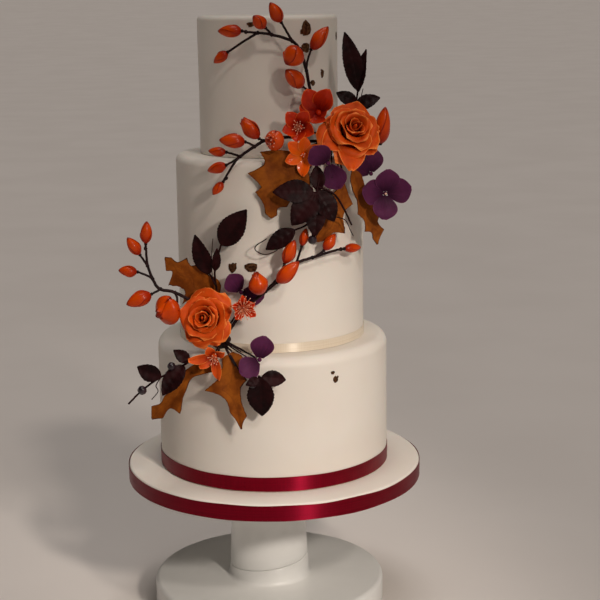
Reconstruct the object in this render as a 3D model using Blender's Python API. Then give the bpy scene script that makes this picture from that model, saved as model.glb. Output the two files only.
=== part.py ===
"""Three-tier iced wedding cake with two sprays of sugar flowers, on its iced drum and a pedestal stand.

The origin is on the surface that the stand rests on, under the middle of the cake. +Z is up and -Y is the
front. Lengths are in millimetres, and MM turns them into metres where they become a mesh. A place in the sprays
is (across, depth, up).
"""

import math
import random

import bmesh
import bpy
import numpy as np
from mathutils import Vector

MM = 0.001
GAP = 0.3
SIDES = 28

# Stand: a broad foot with a short boss, a tapering neck that meets it on a slanted joint, and a flat plate.
# The cake stands a little to the right of the stand's middle.
STAND_ACROSS = -8.0
FOOT_RADIUS = 132.0
FOOT_HEIGHT = 35.0
FOOT_FILLET = 5.0
NECK_FOOT_RADIUS = 46.0
NECK_TOP_RADIUS = 40.0
NECK_JOINT_HEIGHT = 53.0
NECK_JOINT_SLANT = math.radians(7)
PLATE_RADIUS = 154.0
PLATE_THICKNESS = 8.0
PLATE_UNDERSIDE = 149.5

# Iced drum under the cake
DRUM_RADIUS = 165.5
DRUM_THICKNESS = 18.5
DRUM_FILLET = 2.5

# Tiers, from the bottom: radius, height, and how far the icing rounds over at the shoulder
TIER_RADII = (128.5, 102.5, 75.5)
TIER_HEIGHTS = (146.0, 203.0, 147.0)
TIER_FILLETS = (11.0, 8.0, 5.0)

# Ribbons
RIBBON_THICKNESS = 0.9
DRUM_RIBBON = 17.0
WIDE_RIBBON = 16.0
RIBBON_LIFT = 1.2
NARROW_RIBBON = 10.0

DRUM_UNDERSIDE = PLATE_UNDERSIDE + PLATE_THICKNESS
DRUM_TOP = DRUM_UNDERSIDE + DRUM_THICKNESS
TIER_BASES = (DRUM_TOP, DRUM_TOP + TIER_HEIGHTS[0], DRUM_TOP + TIER_HEIGHTS[0] + TIER_HEIGHTS[1])

# Sugar work
PETAL_THICKNESS = 1.3
LEAF_THICKNESS = 1.3
STEM_RADIUS = 1.7
TWIG_RADIUS = 1.2
WIRE_RADIUS = 0.9
BUD_CLEARANCE = 1.1
GOLDEN_ANGLE = math.radians(137.5)

COLOURS = {
    "stand_white": ((0.80, 0.80, 0.77), 0.30),
    "icing": ((0.84, 0.78, 0.70), 0.60),
    "satin_burgundy": ((0.23, 0.008, 0.035), 0.35),
    "satin_cream": ((0.74, 0.66, 0.50), 0.35),
    "rose_orange": ((0.74, 0.15, 0.02), 0.55),
    "bud_orange": ((0.70, 0.09, 0.01), 0.35),
    "flower_red": ((0.62, 0.06, 0.01), 0.35),
    "twig_brown": ((0.018, 0.009, 0.010), 0.60),
    "leaf_amber": ((0.33, 0.13, 0.02), 0.60),
    "leaf_plum": ((0.040, 0.008, 0.014), 0.55),
    "petal_violet": ((0.095, 0.018, 0.085), 0.60),
}

# Each spray is bound behind its rose. Its twigs run outwards from the binding
BINDINGS = {
    "stems_upper": ((66, -68, 545), (12, 10, 15)),
    "stems_lower": ((-52, -108, 339), (11, 9, 11)),
}
TWIGS = {
    "bud_upper": (
        (64, -70, 556), (54, -74, 572), (46, -76, 590), (41, -79, 616), (35, -84, 635), (27, -88, 646),
        (6, -93, 653), (-8, -94, 655), (-20, -93, 656),
    ),
    "bud_left": (
        (58, -74, 543), (40, -86, 544), (22, -93, 549), (-1, -103, 547), (-13, -107, 541), (-28, -108, 531),
        (-35, -108, 523), (-45, -105, 507),
    ),
    "bud_right": (
        (-46, -106, 344), (-33, -105, 362), (-18, -109, 379), (-4, -113, 391), (11, -113, 406),
        (28, -112, 420), (45, -107, 425), (69, -94, 430), (78, -86, 430),
    ),
    "bud_outer": (
        (-58, -106, 345), (-76, -98, 372), (-99, -104, 389), (-115, -104, 393), (-122, -104, 404),
        (-127, -104, 420), (-128, -104, 440),
    ),
}

# Buds: base, tip, greatest width, and the point of the twig that its stalk leaves
BUDS = {
    "bud_upper_1": ((46, -79, 637), (64, -76, 660), 15.0, (41, -79, 616)),
    "bud_upper_2": ((16, -92, 665), (5, -97, 685), 14.0, (27, -88, 646)),
    "bud_upper_3": ((0, -98, 660), (-12, -106, 672), 14.0, (6, -93, 653)),
    "bud_upper_4": ((-24, -92, 657), (-49, -84, 657), 13.5, (-20, -93, 656)),
    "bud_upper_5": ((-39, -88, 636), (-54, -81, 625), 11.0, (-8, -94, 655)),
    "bud_upper_6": ((35, -98, 639), (20, -108, 624), 23.0, (35, -84, 635)),
    "bud_upper_7": ((37, -88, 600), (20, -102, 618), 17.0, (46, -76, 594)),
    "bud_upper_8": ((118, -66, 538), (123, -71, 577), 17.0, (72, -66, 538)),
    "bud_left_1": ((-8, -108, 549), (-26, -103, 569), 16.0, (-1, -103, 547)),
    "bud_left_2": ((-22, -109, 546), (-49, -106, 548), 15.5, (-13, -107, 541)),
    "bud_left_3": ((-42, -102, 535), (-61, -96, 536), 10.5, (-28, -108, 531)),
    "bud_left_4": ((-42, -112, 523), (-62, -101, 516), 12.0, (-28, -108, 531)),
    "bud_left_5": ((-46, -105, 505), (-57, -107, 492), 10.0, (-45, -105, 507)),
    "bud_left_6": ((12, -107, 547), (3, -125, 549), 20.0, (14, -96, 548)),
    "bud_right_1": ((79, -85, 430), (97, -70, 429), 10.0, (78, -86, 430)),
    "bud_right_2": ((57, -106, 432), (69, -103, 449), 12.0, (45, -107, 425)),
    "bud_right_3": ((34, -113, 438), (39, -114, 457), 10.0, (28, -112, 420)),
    "bud_right_4": ((16, -124, 422), (27, -128, 447), 14.0, (11, -113, 406)),
    "bud_right_5": ((8, -128, 403), (31, -130, 425), 16.5, (-4, -113, 391)),
    "bud_right_6": ((-9, -121, 389), (-14, -128, 414), 20.0, (-4, -113, 391)),
    "bud_outer_1": ((-128, -104, 441), (-126, -106, 465), 13.0, (-128, -104, 440)),
    "bud_outer_2": ((-134, -107, 430), (-146, -111, 449), 13.0, (-127, -104, 418)),
    "bud_outer_3": ((-137, -107, 412), (-157, -107, 414), 12.5, (-122, -104, 404)),
    "bud_outer_4": ((-123, -110, 389), (-149, -115, 379), 17.0, (-114, -104, 393)),
    "bud_outer_5": ((-97, -110, 376), (-116, -131, 371), 31.0, (-99, -104, 389)),
}

# Roses: the back of the flower, the point that it faces, radius, depth, number of petals, seed, and the
# directions in degrees and shares of the radius of the broad petals that spread below them
ROSES = {
    "rose_upper": (
        (83, -77, 547), (94, -110, 566), 31.0, 37.0, 6, 3,
        ((4, 1.02), (62, 0.9), (150, 0.95), (205, 1.25), (258, 1.55), (310, 1.08)),
    ),
    "rose_lower": (
        (-65, -106, 361), (-72, -140, 370), 28.0, 31.0, 6, 8,
        ((20, 1.05), (95, 1.0), (165, 1.0), (235, 1.05), (300, 1.15)),
    ),
}

# Open flowers: base, a point that they face, petal length, petal width, how far the petals lift at foot and
# rim in degrees, and each petal's direction in degrees and share of the length
FLOWERS = {
    "flower_upper": (
        (53, -84, 573), (50, -104, 576), 20.0, 22.0, (42, 18),
        ((62, 1.4), (118, 1.35), (165, 1.0), (250, 0.6), (322, 0.4)),
    ),
    "flower_middle": (
        (34, -98, 559), (30, -118, 563), 20.0, 16.0, (54, 22),
        ((60, 1.0), (132, 1.05), (200, 0.95), (268, 0.9), (340, 1.0)),
    ),
    "flower_star": (
        (37, -107, 532), (37, -128, 533), 19.0, 13.0, (34, 4),
        ((22, 1.1), (84, 0.9), (140, 1.0), (200, 1.0), (268, 1.1), (322, 0.7)),
    ),
    "flower_side": (
        (-29, -120, 376), (-23, -139, 377), 15.0, 10.5, (52, 26),
        ((20, 0.9), (100, 1.0), (170, 0.9), (232, 1.0), (325, 1.1)),
    ),
    "flower_under": (
        (-58, -133, 328), (-58, -150, 323), 19.0, 10.5, (40, 10),
        ((30, 0.6), (120, 0.7), (178, 1.4), (212, 0.95), (280, 1.3)),
    ),
}

# Hydrangea florets: centre, a point that they face, petal length, petal width, petal directions in degrees
FLORETS = {
    "floret_right": ((122, -84, 488), (127, -106, 488), 26.0, 27.0, (12, 88, 170, 262)),
    "floret_back": ((108, -68, 507), (114, -88, 513), 24.0, 21.0, (78, 150)),
    "floret_middle": ((62, -107, 523), (64, -127, 518), 27.0, 26.0, (-66, 132)),
    "floret_lower": ((-30, -101, 388), (-26, -123, 388), 23.0, 23.0, (125, -10)),
    "floret_ledge": ((-11, -138, 324), (-9, -160, 329), 24.0, 25.0, (78, 214)),
}

# Oak leaves: foot, tip, the way that they face, sag towards that side, fold, then the rim on each side of the
# straight line from foot to tip, as knots of (place along the line, reach from it) in shares of the leaf's
# length. A knot with POINT is the tip of a lobe, and the rim bends softly through the others
POINT = True
OAK_LEAVES = {
    "oak_leaf_left": (
        (27, -104, 535), (3, -109, 467), (-0.1, -1.0, 0.15), 3.0, 0.06,
        (
            (0.10, 0.18), (0.26, 0.34), (0.44, 0.40, POINT), (0.56, 0.25), (0.67, 0.19), (0.77, 0.17, POINT),
            (0.83, 0.05), (0.93, 0.07, POINT),
        ),
        (
            (0.06, 0.25), (0.16, 0.45, POINT), (0.29, 0.34), (0.50, 0.51, POINT), (0.61, 0.29),
            (0.72, 0.33, POINT), (0.84, 0.17), (0.97, 0.10, POINT),
        ),
    ),
    "oak_leaf_right": (
        (88, -86, 514), (115, -66, 431), (0.55, -0.8, 0.1), 4.0, 0.10,
        (
            (0.09, 0.08), (0.22, 0.07), (0.35, 0.05), (0.48, 0.08), (0.66, 0.13, POINT), (0.74, 0.08),
            (0.87, 0.14, POINT), (0.95, 0.04),
        ),
        (
            (0.08, 0.10), (0.22, 0.13), (0.36, 0.12), (0.49, 0.18, POINT), (0.62, 0.11), (0.74, 0.15, POINT),
            (0.80, 0.06), (0.89, 0.06, POINT),
        ),
    ),
    "oak_leaf_centre": (
        (79, -90, 500), (50, -100, 440), (0.5, -0.87, 0.0), 2.0, 0.06,
        (
            (0.11, 0.14), (0.23, 0.28, POINT), (0.36, 0.20), (0.48, 0.21), (0.59, 0.30), (0.69, 0.37, POINT),
            (0.76, 0.19), (0.89, 0.17, POINT),
        ),
        (
            (0.15, 0.10), (0.29, 0.15), (0.42, 0.24, POINT), (0.52, 0.13), (0.63, 0.12), (0.75, 0.18, POINT),
            (0.83, 0.08), (0.93, 0.07, POINT),
        ),
    ),
    "oak_leaf_back": (
        (-53, -90, 385), (-110, -90, 424), (-0.1, -0.95, -0.2), 1.5, 0.05,
        (
            (0.14, 0.26), (0.29, 0.29), (0.38, 0.48, POINT), (0.46, 0.28), (0.58, 0.28), (0.72, 0.34, POINT),
            (0.78, 0.13), (0.87, 0.17, POINT),
        ),
        (
            (0.06, 0.13), (0.18, 0.19), (0.34, 0.18), (0.50, 0.26, POINT), (0.60, 0.13), (0.72, 0.20, POINT),
            (0.80, 0.06), (0.92, 0.06, POINT),
        ),
    ),
    "oak_leaf_outer": (
        (-59, -120, 312), (-126, -122, 257), (-0.55, -0.75, 0.45), 6.0, 0.08,
        (
            (0.03, 0.05), (0.15, 0.00), (0.30, -0.04), (0.43, 0.05), (0.54, 0.15), (0.64, 0.26, POINT),
            (0.72, 0.09), (0.87, 0.11, POINT),
        ),
        (
            (0.05, 0.13), (0.18, 0.19), (0.33, 0.18), (0.48, 0.12), (0.59, 0.08), (0.69, 0.10, POINT),
            (0.79, 0.06), (0.91, 0.12, POINT),
        ),
    ),
    "oak_leaf_front": (
        (-39, -131, 331), (-31, -143, 251), (-0.35, -0.95, 0.0), 4.0, 0.08,
        (
            (0.06, 0.13), (0.22, 0.14), (0.37, 0.18, POINT), (0.46, 0.09), (0.58, 0.07), (0.70, 0.08),
            (0.83, 0.11, POINT), (0.92, 0.04),
        ),
        (
            (0.07, 0.13), (0.21, 0.16), (0.35, 0.25), (0.46, 0.43, POINT), (0.53, 0.22), (0.64, 0.13),
            (0.77, 0.11, POINT), (0.87, 0.05),
        ),
    ),
}

# Sprays of plum leaves: stalks, then leaves (foot, tip, width, facing) and berries (centre, radius)
LEAF_SPRAYS = {
    "plum_leaves_upper": {
        "stalks": (((92, -62, 572), (95, -62, 597)),),
        "leaves": (
            ((95, -62, 594), (81, -62, 654), 21.0, (0.2, -1.0, 0.1)),
            ((95, -62, 592), (104, -60, 636), 14.0, (-0.6, -0.8, 0.0)),
            ((93, -62, 580), (72, -65, 592), 15.0, (-0.1, -0.9, 0.4)),
            ((93, -62, 577), (118, -60, 586), 17.0, (0.1, -0.8, 0.6)),
        ),
        "berries": (),
    },
    "plum_leaves_middle": {
        "stalks": (
            ((53, -112, 508), (50, -117, 494), (49, -118, 478), (40, -118, 462), (25, -117, 455)),
            ((49, -118, 480), (46, -120, 464), (45, -122, 448)),
            ((52, -116, 500), (68, -116, 492), (78, -110, 476), (86, -102, 458)),
        ),
        "leaves": (
            ((47, -117, 495), (5, -122, 496), 24.0, (-0.1, -0.95, 0.3)),
            ((50, -117, 494), (24, -126, 462), 28.0, (-0.2, -1.0, 0.0)),
            ((50, -116, 496), (68, -116, 464), 24.0, (0.4, -0.9, 0.0)),
            ((49, -118, 484), (47, -124, 450), 21.0, (0.1, -1.0, 0.1)),
            ((27, -117, 456), (-3, -118, 436), 19.0, (-0.1, -1.0, 0.2)),
            ((52, -115, 496), (50, -106, 521), 16.0, (0.0, -1.0, 0.0)),
        ),
        "berries": (((45, -121, 446), 4.6),),
    },
    "plum_leaves_high": {
        "stalks": (
            ((-56, -98, 390), (-57, -100, 412), (-49, -104, 442)),
            ((-57, -99, 396), (-64, -98, 410)),
        ),
        "leaves": (
            ((-50, -104, 439), (-22, -113, 477), 27.0, (-0.2, -1.0, 0.0)),
            ((-63, -98, 407), (-77, -98, 449), 20.0, (-0.3, -1.0, 0.0)),
            ((-57, -100, 411), (-54, -106, 436), 10.0, (0.3, -1.0, 0.0)),
        ),
        "berries": (),
    },
    "plum_leaves_outer": {
        "stalks": (
            ((-82, -129, 322), (-100, -132, 312), (-116, -132, 304), (-134, -131, 291), (-149, -130, 276)),
            ((-99, -132, 312), (-102, -136, 317)),
        ),
        "leaves": (
            ((-114, -132, 305), (-138, -133, 317), 19.0, (-0.2, -1.0, 0.1)),
            ((-90, -130, 317), (-112, -142, 288), 21.0, (-0.4, -1.0, 0.1)),
            ((-84, -129, 321), (-100, -132, 334), 13.0, (-0.1, -1.0, 0.4)),
        ),
        "berries": (((-102, -137, 318), 4.4), ((-134, -131, 291), 4.8)),
    },
    "plum_leaves_ledge": {
        "stalks": (((-12, -149.5, 310), (-9, -149, 307)), ((-11, -149, 309), (-17, -152, 302))),
        "leaves": (
            ((-10, -149, 308), (-9, -146, 266), 28.0, (-0.1, -1.0, 0.0)),
            ((-9, -149, 308), (16, -144, 304), 17.0, (0.2, -1.0, 0.3)),
            ((-11, -151, 307), (-25, -156, 302), 10.0, (-0.2, -1.0, 0.2)),
        ),
        "berries": (((-18, -152, 301), 3.6),),
    },
}

# Wires from each binding towards the back of a flower or the foot of a leaf: the end, and how far short of it
# they stop
WIRES = {
    "stems_upper": (
        ((53, -84, 573), 6.0),
        ((34, -98, 559), 6.0),
        ((37, -107, 532), 6.0),
        ((62, -107, 523), 4.0),
        ((88, -86, 514), 1.5),
        ((79, -90, 500), 1.5),
        ((27, -104, 535), 1.5),
        ((92, -62, 572), 1.5),
        ((108, -68, 507), 7.0),
        ((83, -77, 549), 8.0),
    ),
    "stems_lower": (
        ((-29, -120, 376), 6.0),
        ((-58, -133, 328), 6.0),
        ((-39, -131, 331), 1.5),
        ((-11, -138, 324), 4.0),
        ((-59, -120, 312), 1.5),
        ((-56, -98, 390), 2.0),
        ((-65, -106, 361), 8.0),
    ),
}

# Flakes of gold leaf on the icing: tier, angle round from the front, height above the tier's base, width and
# height of the flake
GOLD_FLAKES = (
    (2, -9.8, 138.5, 15.0, 5.0),
    (2, 33, 133, 12.5, 17.0),
    (2, 32.5, 114, 11.0, 12.0),
    (2, 50, 86, 6.0, 9.0),
    (2, 39, 77, 6.5, 7.0),
    (2, 77, 124, 4.5, 9.0),
    (1, -22, 91, 10.0, 10.5),
    (1, -10.5, 92, 14.0, 11.0),
    (0, 30.5, 126, 5.0, 4.5),
    (0, 32, 118, 6.5, 8.0),
)
FLAKE_THICKNESS = 0.6
FLAKE_ROOT = 1.5


def clear_scene():
    for item in list(bpy.data.objects):
        bpy.data.objects.remove(item, do_unlink=True)


def material(name):
    found = bpy.data.materials.get(name)
    if found:
        return found
    colour, roughness = COLOURS[name]
    made = bpy.data.materials.new(name)
    made.use_nodes = True
    shader = made.node_tree.nodes["Principled BSDF"]
    shader.inputs["Base Color"].default_value = (*colour, 1.0)
    shader.inputs["Roughness"].default_value = roughness
    shader.inputs["Metallic"].default_value = 0.0
    return made


def link(name, mesh, slot):
    """Puts a mesh in the scene as a named object that is smooth except at its sharp edges."""
    mesh.shade_smooth()
    mesh.set_sharp_from_angle(angle=math.radians(40))
    mesh.materials.clear()
    mesh.materials.append(material(slot))
    made = bpy.data.objects.new(name, mesh)
    bpy.context.scene.collection.objects.link(made)
    return made


def mesh_of(name, body):
    """A mesh from a bmesh, with doubled points merged and every face pointing out."""
    bmesh.ops.remove_doubles(body, verts=body.verts, dist=1e-6)
    bmesh.ops.recalc_face_normals(body, faces=body.faces)
    mesh = bpy.data.meshes.new(name)
    body.to_mesh(mesh)
    body.free()
    return mesh


def solid(name, points, faces, slot, origin=(0, 0, 0)):
    """An object from points in millimetres, whose own origin is the given place."""
    place = np.asarray(origin, float)
    body = bmesh.new()
    corners = [body.verts.new(((np.asarray(p, float) - place) * MM).tolist()) for p in points]
    for face in faces:
        body.faces.new([corners[k] for k in face])
    made = link(name, mesh_of(name, body), slot)
    made.location = Vector(place * MM)
    return made


def turned(name, profile, slot, closed=False):
    """A solid of revolution about Z from a profile of (radius, height), a loop or from axis to axis."""
    body = bmesh.new()
    points = [body.verts.new((r * MM, 0, z * MM)) for r, z in profile]
    ends = points[1:] + points[:1] if closed else points[1:]
    edges = [body.edges.new(pair) for pair in zip(points, ends)]
    bmesh.ops.spin(
        body, geom=points + edges, cent=(0, 0, 0), axis=(0, 0, 1),
        angle=math.tau, steps=SIDES, use_merge=True,
    )
    return link(name, mesh_of(name, body), slot)


def rounded_edge(radius, top, bend, steps):
    """Points of a rounded edge from the side wall at this radius up to the flat at height top."""
    turns = [math.pi / 2 * i / steps for i in range(steps + 1)]
    return [(radius - bend + bend * math.cos(a), top - bend + bend * math.sin(a)) for a in turns]


def keep_outer_body(mesh):
    """Drops what is not joined to the largest body: the walls of sealed hollows, and loose scraps."""
    body = bmesh.new()
    body.from_mesh(mesh)
    waiting, bodies = set(body.verts), []
    while waiting:
        found, edge = set(), [next(iter(waiting))]
        while edge:
            point = edge.pop()
            if point in waiting:
                waiting.discard(point)
                found.add(point)
                edge += [e.other_vert(point) for e in point.link_edges]
        bodies.append(found)
    bodies.sort(key=len)
    for scrap in bodies[:-1]:
        bmesh.ops.delete(body, geom=list(scrap), context="VERTS")
    body.to_mesh(mesh)
    body.free()


def union(first, others):
    """Joins closed pieces into one solid with a single Boolean on a collection, then removes the pieces."""
    group = bpy.data.collections.new("join")
    for piece in others:
        group.objects.link(piece)
    joint = first.modifiers.new("join", "BOOLEAN")
    joint.operation = "UNION"
    joint.operand_type = "COLLECTION"
    joint.collection = group
    joint.solver = "MANIFOLD"
    bpy.context.view_layer.update()
    graph = bpy.context.evaluated_depsgraph_get()
    joined = bpy.data.meshes.new_from_object(first.evaluated_get(graph))
    first.modifiers.clear()
    keep_outer_body(joined)
    joined.shade_smooth()
    joined.set_sharp_from_angle(angle=math.radians(40))
    first.data = joined
    for piece in others:
        bpy.data.objects.remove(piece, do_unlink=True)
    bpy.data.collections.remove(group)


def unit(vector):
    return np.asarray(vector, float) / np.linalg.norm(vector)


def leaf_axes(along, facing):
    """Rows that turn a leaf's (right of its midrib, along, facing) into the cake's frame."""
    y = unit(along)
    z = unit(np.asarray(facing, float) - np.dot(facing, y) * y)
    return np.stack([np.cross(y, z), y, z])


def flower_axes(forward):
    """Rows that turn a flower's (right, up, forward) into the cake's frame."""
    forward = unit(forward)
    right = unit(np.cross((0, 0, 1), forward))
    return np.stack([right, np.cross(forward, right), forward])


def shell(name, grid, thickness, slot, edge=0.5):
    """A thin closed solid about a grid of points, both faces split alike, thinner along its rim."""
    grid = np.asarray(grid, float)
    rows, columns = grid.shape[:2]
    normal = np.cross(np.gradient(grid, axis=1), np.gradient(grid, axis=0))
    normal /= np.maximum(np.linalg.norm(normal, axis=2, keepdims=True), 1e-9)
    half = np.full((rows, columns, 1), thickness / 2)
    half[0] = half[-1] = thickness / 2 * edge
    half[:, 0] = half[:, -1] = thickness / 2 * edge
    points = np.concatenate([(grid + normal * half).reshape(-1, 3), (grid - normal * half).reshape(-1, 3)])
    under = rows * columns
    faces = []
    for i in range(rows - 1):
        for j in range(columns - 1):
            a, b = i * columns + j, i * columns + j + 1
            c, d = b + columns, a + columns
            faces += [(a, b, c), (a, c, d)]
            faces += [(a + under, c + under, b + under), (a + under, d + under, c + under)]
    rim = list(range(columns))
    rim += [i * columns + columns - 1 for i in range(1, rows)]
    rim += [(rows - 1) * columns + j for j in range(columns - 2, -1, -1)]
    rim += [i * columns for i in range(rows - 2, 0, -1)]
    for a, b in zip(rim, rim[1:] + rim[:1]):
        faces += [(b, a, a + under), (b, a + under, b + under)]
    return solid(name, points, faces, slot)


def tube(name, path, radius, slot, end_radius=None, resolution=1):
    """A round stalk along a path, made as a curve with a bevel and turned into a mesh."""
    curve = bpy.data.curves.new(name, "CURVE")
    curve.dimensions = "3D"
    curve.bevel_depth = radius * MM
    curve.bevel_resolution = resolution
    curve.use_fill_caps = True
    line = curve.splines.new("POLY")
    line.points.add(len(path) - 1)
    thin = 1.0 if end_radius is None else end_radius / radius
    for i, (point, place) in enumerate(zip(line.points, path)):
        point.co = (*(np.asarray(place, float) * MM), 1.0)
        point.radius = 1.0 + (thin - 1.0) * i / (len(path) - 1)
    guide = bpy.data.objects.new(name, curve)
    bpy.context.scene.collection.objects.link(guide)
    graph = bpy.context.evaluated_depsgraph_get()
    body = bmesh.new()
    body.from_mesh(guide.evaluated_get(graph).to_mesh())
    bpy.data.objects.remove(guide, do_unlink=True)
    return link(name, mesh_of(name, body), slot)


def ball(name, centre, radii, slot, segments=8, rings=5, along=(0, 0, 1)):
    """An ellipsoid whose third radius lies along the given direction."""
    turn = Vector(along).to_track_quat("Z", "Y").to_matrix()
    body = bmesh.new()
    bmesh.ops.create_uvsphere(body, u_segments=segments, v_segments=rings, radius=1.0)
    for v in body.verts:
        v.co = (turn @ (v.co * Vector(radii)) + Vector(centre)) * MM
    return link(name, mesh_of(name, body), slot)


def cut_on_slant(piece, keep_below, height):
    """Cuts a piece along the neck's slanted joint and keeps what is below it or above it."""
    body = bmesh.new()
    body.from_mesh(piece.data)
    normal = Vector((-math.sin(NECK_JOINT_SLANT), 0, math.cos(NECK_JOINT_SLANT)))
    cut = bmesh.ops.bisect_plane(
        body, geom=body.verts[:] + body.edges[:] + body.faces[:], plane_co=(0, 0, height * MM),
        plane_no=normal, clear_outer=keep_below, clear_inner=not keep_below,
    )
    rim = [e for e in cut["geom_cut"] if isinstance(e, bmesh.types.BMEdge)]
    bmesh.ops.contextual_create(body, geom=rim)
    bmesh.ops.recalc_face_normals(body, faces=body.faces)
    body.to_mesh(piece.data)
    body.free()


def build_stand():
    taper = (NECK_FOOT_RADIUS - NECK_TOP_RADIUS) / (PLATE_UNDERSIDE - FOOT_HEIGHT)
    boss_top = NECK_JOINT_HEIGHT + 20
    foot = [(0, 0), (FOOT_RADIUS, 0)]
    foot += rounded_edge(FOOT_RADIUS, FOOT_HEIGHT, FOOT_FILLET, 1)
    foot += [(NECK_FOOT_RADIUS + 4, FOOT_HEIGHT), (NECK_FOOT_RADIUS, FOOT_HEIGHT + 4)]
    foot += [(NECK_FOOT_RADIUS - taper * (boss_top - FOOT_HEIGHT), boss_top), (0, boss_top)]
    stand_foot = turned("stand_foot", foot, "stand_white")
    cut_on_slant(stand_foot, True, NECK_JOINT_HEIGHT)

    top = PLATE_UNDERSIDE - GAP
    collar = top - 8
    neck = [(0, FOOT_HEIGHT), (NECK_FOOT_RADIUS, FOOT_HEIGHT)]
    neck += [(NECK_FOOT_RADIUS - taper * (collar - FOOT_HEIGHT), collar), (NECK_TOP_RADIUS + 6, top), (0, top)]
    stand_neck = turned("stand_neck", neck, "stand_white")
    cut_on_slant(stand_neck, False, NECK_JOINT_HEIGHT + GAP)

    rim = PLATE_UNDERSIDE + PLATE_THICKNESS
    plate = [(0, PLATE_UNDERSIDE), (PLATE_RADIUS - 10, PLATE_UNDERSIDE), (PLATE_RADIUS, PLATE_UNDERSIDE + 3)]
    plate += [(PLATE_RADIUS, rim), (0, rim)]
    stand_plate = turned("stand_plate", plate, "stand_white")
    for piece in (stand_foot, stand_neck, stand_plate):
        piece.location.x = STAND_ACROSS * MM


def ribbon(name, wrapped_radius, bottom, width, slot):
    """A flat band round a cylinder, with a gap to what it lies on."""
    near, far = wrapped_radius + GAP, wrapped_radius + GAP + RIBBON_THICKNESS
    profile = [(near, bottom), (far, bottom), (far, bottom + width), (near, bottom + width)]
    turned(name, profile, slot, closed=True)


def gold_flake(index):
    """A thin ragged flake pressed on the side of a tier, rooted in the icing so that the two fuse."""
    rng = random.Random(index)
    tier, angle, height, width, tall = GOLD_FLAKES[index]
    outline = []
    for k in range(6):
        a = math.tau * k / 6 + rng.uniform(-0.3, 0.3)
        reach = rng.uniform(0.75, 1.0)
        outline.append((math.cos(a) * width / 2 * reach, math.sin(a) * tall / 2 * reach))
    points = []
    for r in (TIER_RADII[tier] - FLAKE_ROOT, TIER_RADII[tier] + FLAKE_THICKNESS):
        for across, up in outline:
            turn = math.radians(angle) + across / r
            points.append((r * math.sin(turn), -r * math.cos(turn), TIER_BASES[tier] + height + up))
    faces = [tuple(range(6)), tuple(range(11, 5, -1))]
    faces += [(k, (k + 1) % 6, (k + 1) % 6 + 6, k + 6) for k in range(6)]
    return solid(f"flake_{index}", points, faces, "icing")


def build_cake():
    bottom = DRUM_UNDERSIDE + GAP
    drum = [(0, bottom), (DRUM_RADIUS, bottom)]
    drum += rounded_edge(DRUM_RADIUS, DRUM_TOP, DRUM_FILLET, 1) + [(0, DRUM_TOP)]
    turned("cake_drum", drum, "icing")
    ribbon("ribbon_drum", DRUM_RADIUS, bottom, DRUM_RIBBON, "satin_burgundy")
    for i, name in enumerate(("tier_bottom", "tier_middle", "tier_top")):
        radius, base = TIER_RADII[i], TIER_BASES[i] + GAP
        top = TIER_BASES[i] + TIER_HEIGHTS[i]
        profile = [(0, base), (radius, base)] + rounded_edge(radius, top, TIER_FILLETS[i], 2) + [(0, top)]
        tier = turned(name, profile, "icing")
        union(tier, [gold_flake(k) for k, flake in enumerate(GOLD_FLAKES) if flake[0] == i])
    ribbon("ribbon_bottom", TIER_RADII[0], TIER_BASES[0] + RIBBON_LIFT, WIDE_RIBBON, "satin_burgundy")
    ribbon("ribbon_middle", TIER_RADII[1], TIER_BASES[1] + GAP, NARROW_RIBBON, "satin_cream")


def build_stems():
    """Each spray's taped stems are one piece: the binding, two twigs, their side stalks and the wires."""
    families = {"stems_upper": ("bud_upper", "bud_left"), "stems_lower": ("bud_right", "bud_outer")}
    for name, (centre, radii) in BINDINGS.items():
        pieces = []
        for family in families[name]:
            pieces.append(tube("twig", TWIGS[family], STEM_RADIUS, "twig_brown", TWIG_RADIUS))
            for bud_name, (base, _, _, leaves_at) in BUDS.items():
                start, end = np.asarray(leaves_at, float), np.asarray(base, float)
                if bud_name.startswith(family) and np.linalg.norm(end - start) > 4:
                    stalk = tube("stalk", [start, end], TWIG_RADIUS, "twig_brown", WIRE_RADIUS, resolution=0)
                    pieces.append(stalk)
        for end, short in WIRES[name]:
            start, end = np.asarray(centre, float), np.asarray(end, float)
            end -= unit(end - start) * short
            pieces.append(tube("wire", [start, end], WIRE_RADIUS, "twig_brown", resolution=0))
        union(ball(name, centre, radii, "twig_brown", 8, 6), pieces)


def build_buds():
    """Pointed buds of three wrapped petals, so their section is slightly three-cornered."""
    sides = 6
    levels = ((0.0, 0.22), (0.36, 1.0), (0.68, 0.78), (1.0, 0.10))
    for name, (base, tip, width, _) in BUDS.items():
        along = np.subtract(tip, base).astype(float)
        foot = np.asarray(base, float) + unit(along) * BUD_CLEARANCE
        turn = leaf_axes(along, (0.3, -1.0, 0.2))
        length = np.linalg.norm(along)
        points = []
        for t, share in levels:
            for k in range(sides):
                a = math.tau * k / sides
                r = width / 2 * share * (1 + 0.06 * math.cos(3 * a))
                points.append(foot + np.array([r * math.cos(a), t * length, r * math.sin(a)]) @ turn)
        last = len(points) - 1
        faces = [tuple(range(sides)), tuple(range(last, last - sides, -1))]
        for i in range(len(levels) - 1):
            for k in range(sides):
                a, b = i * sides + k, i * sides + (k + 1) % sides
                faces.append((a, b, b + sides, a + sides))
        solid(name, points, faces, "bud_orange", origin=base)


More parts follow.
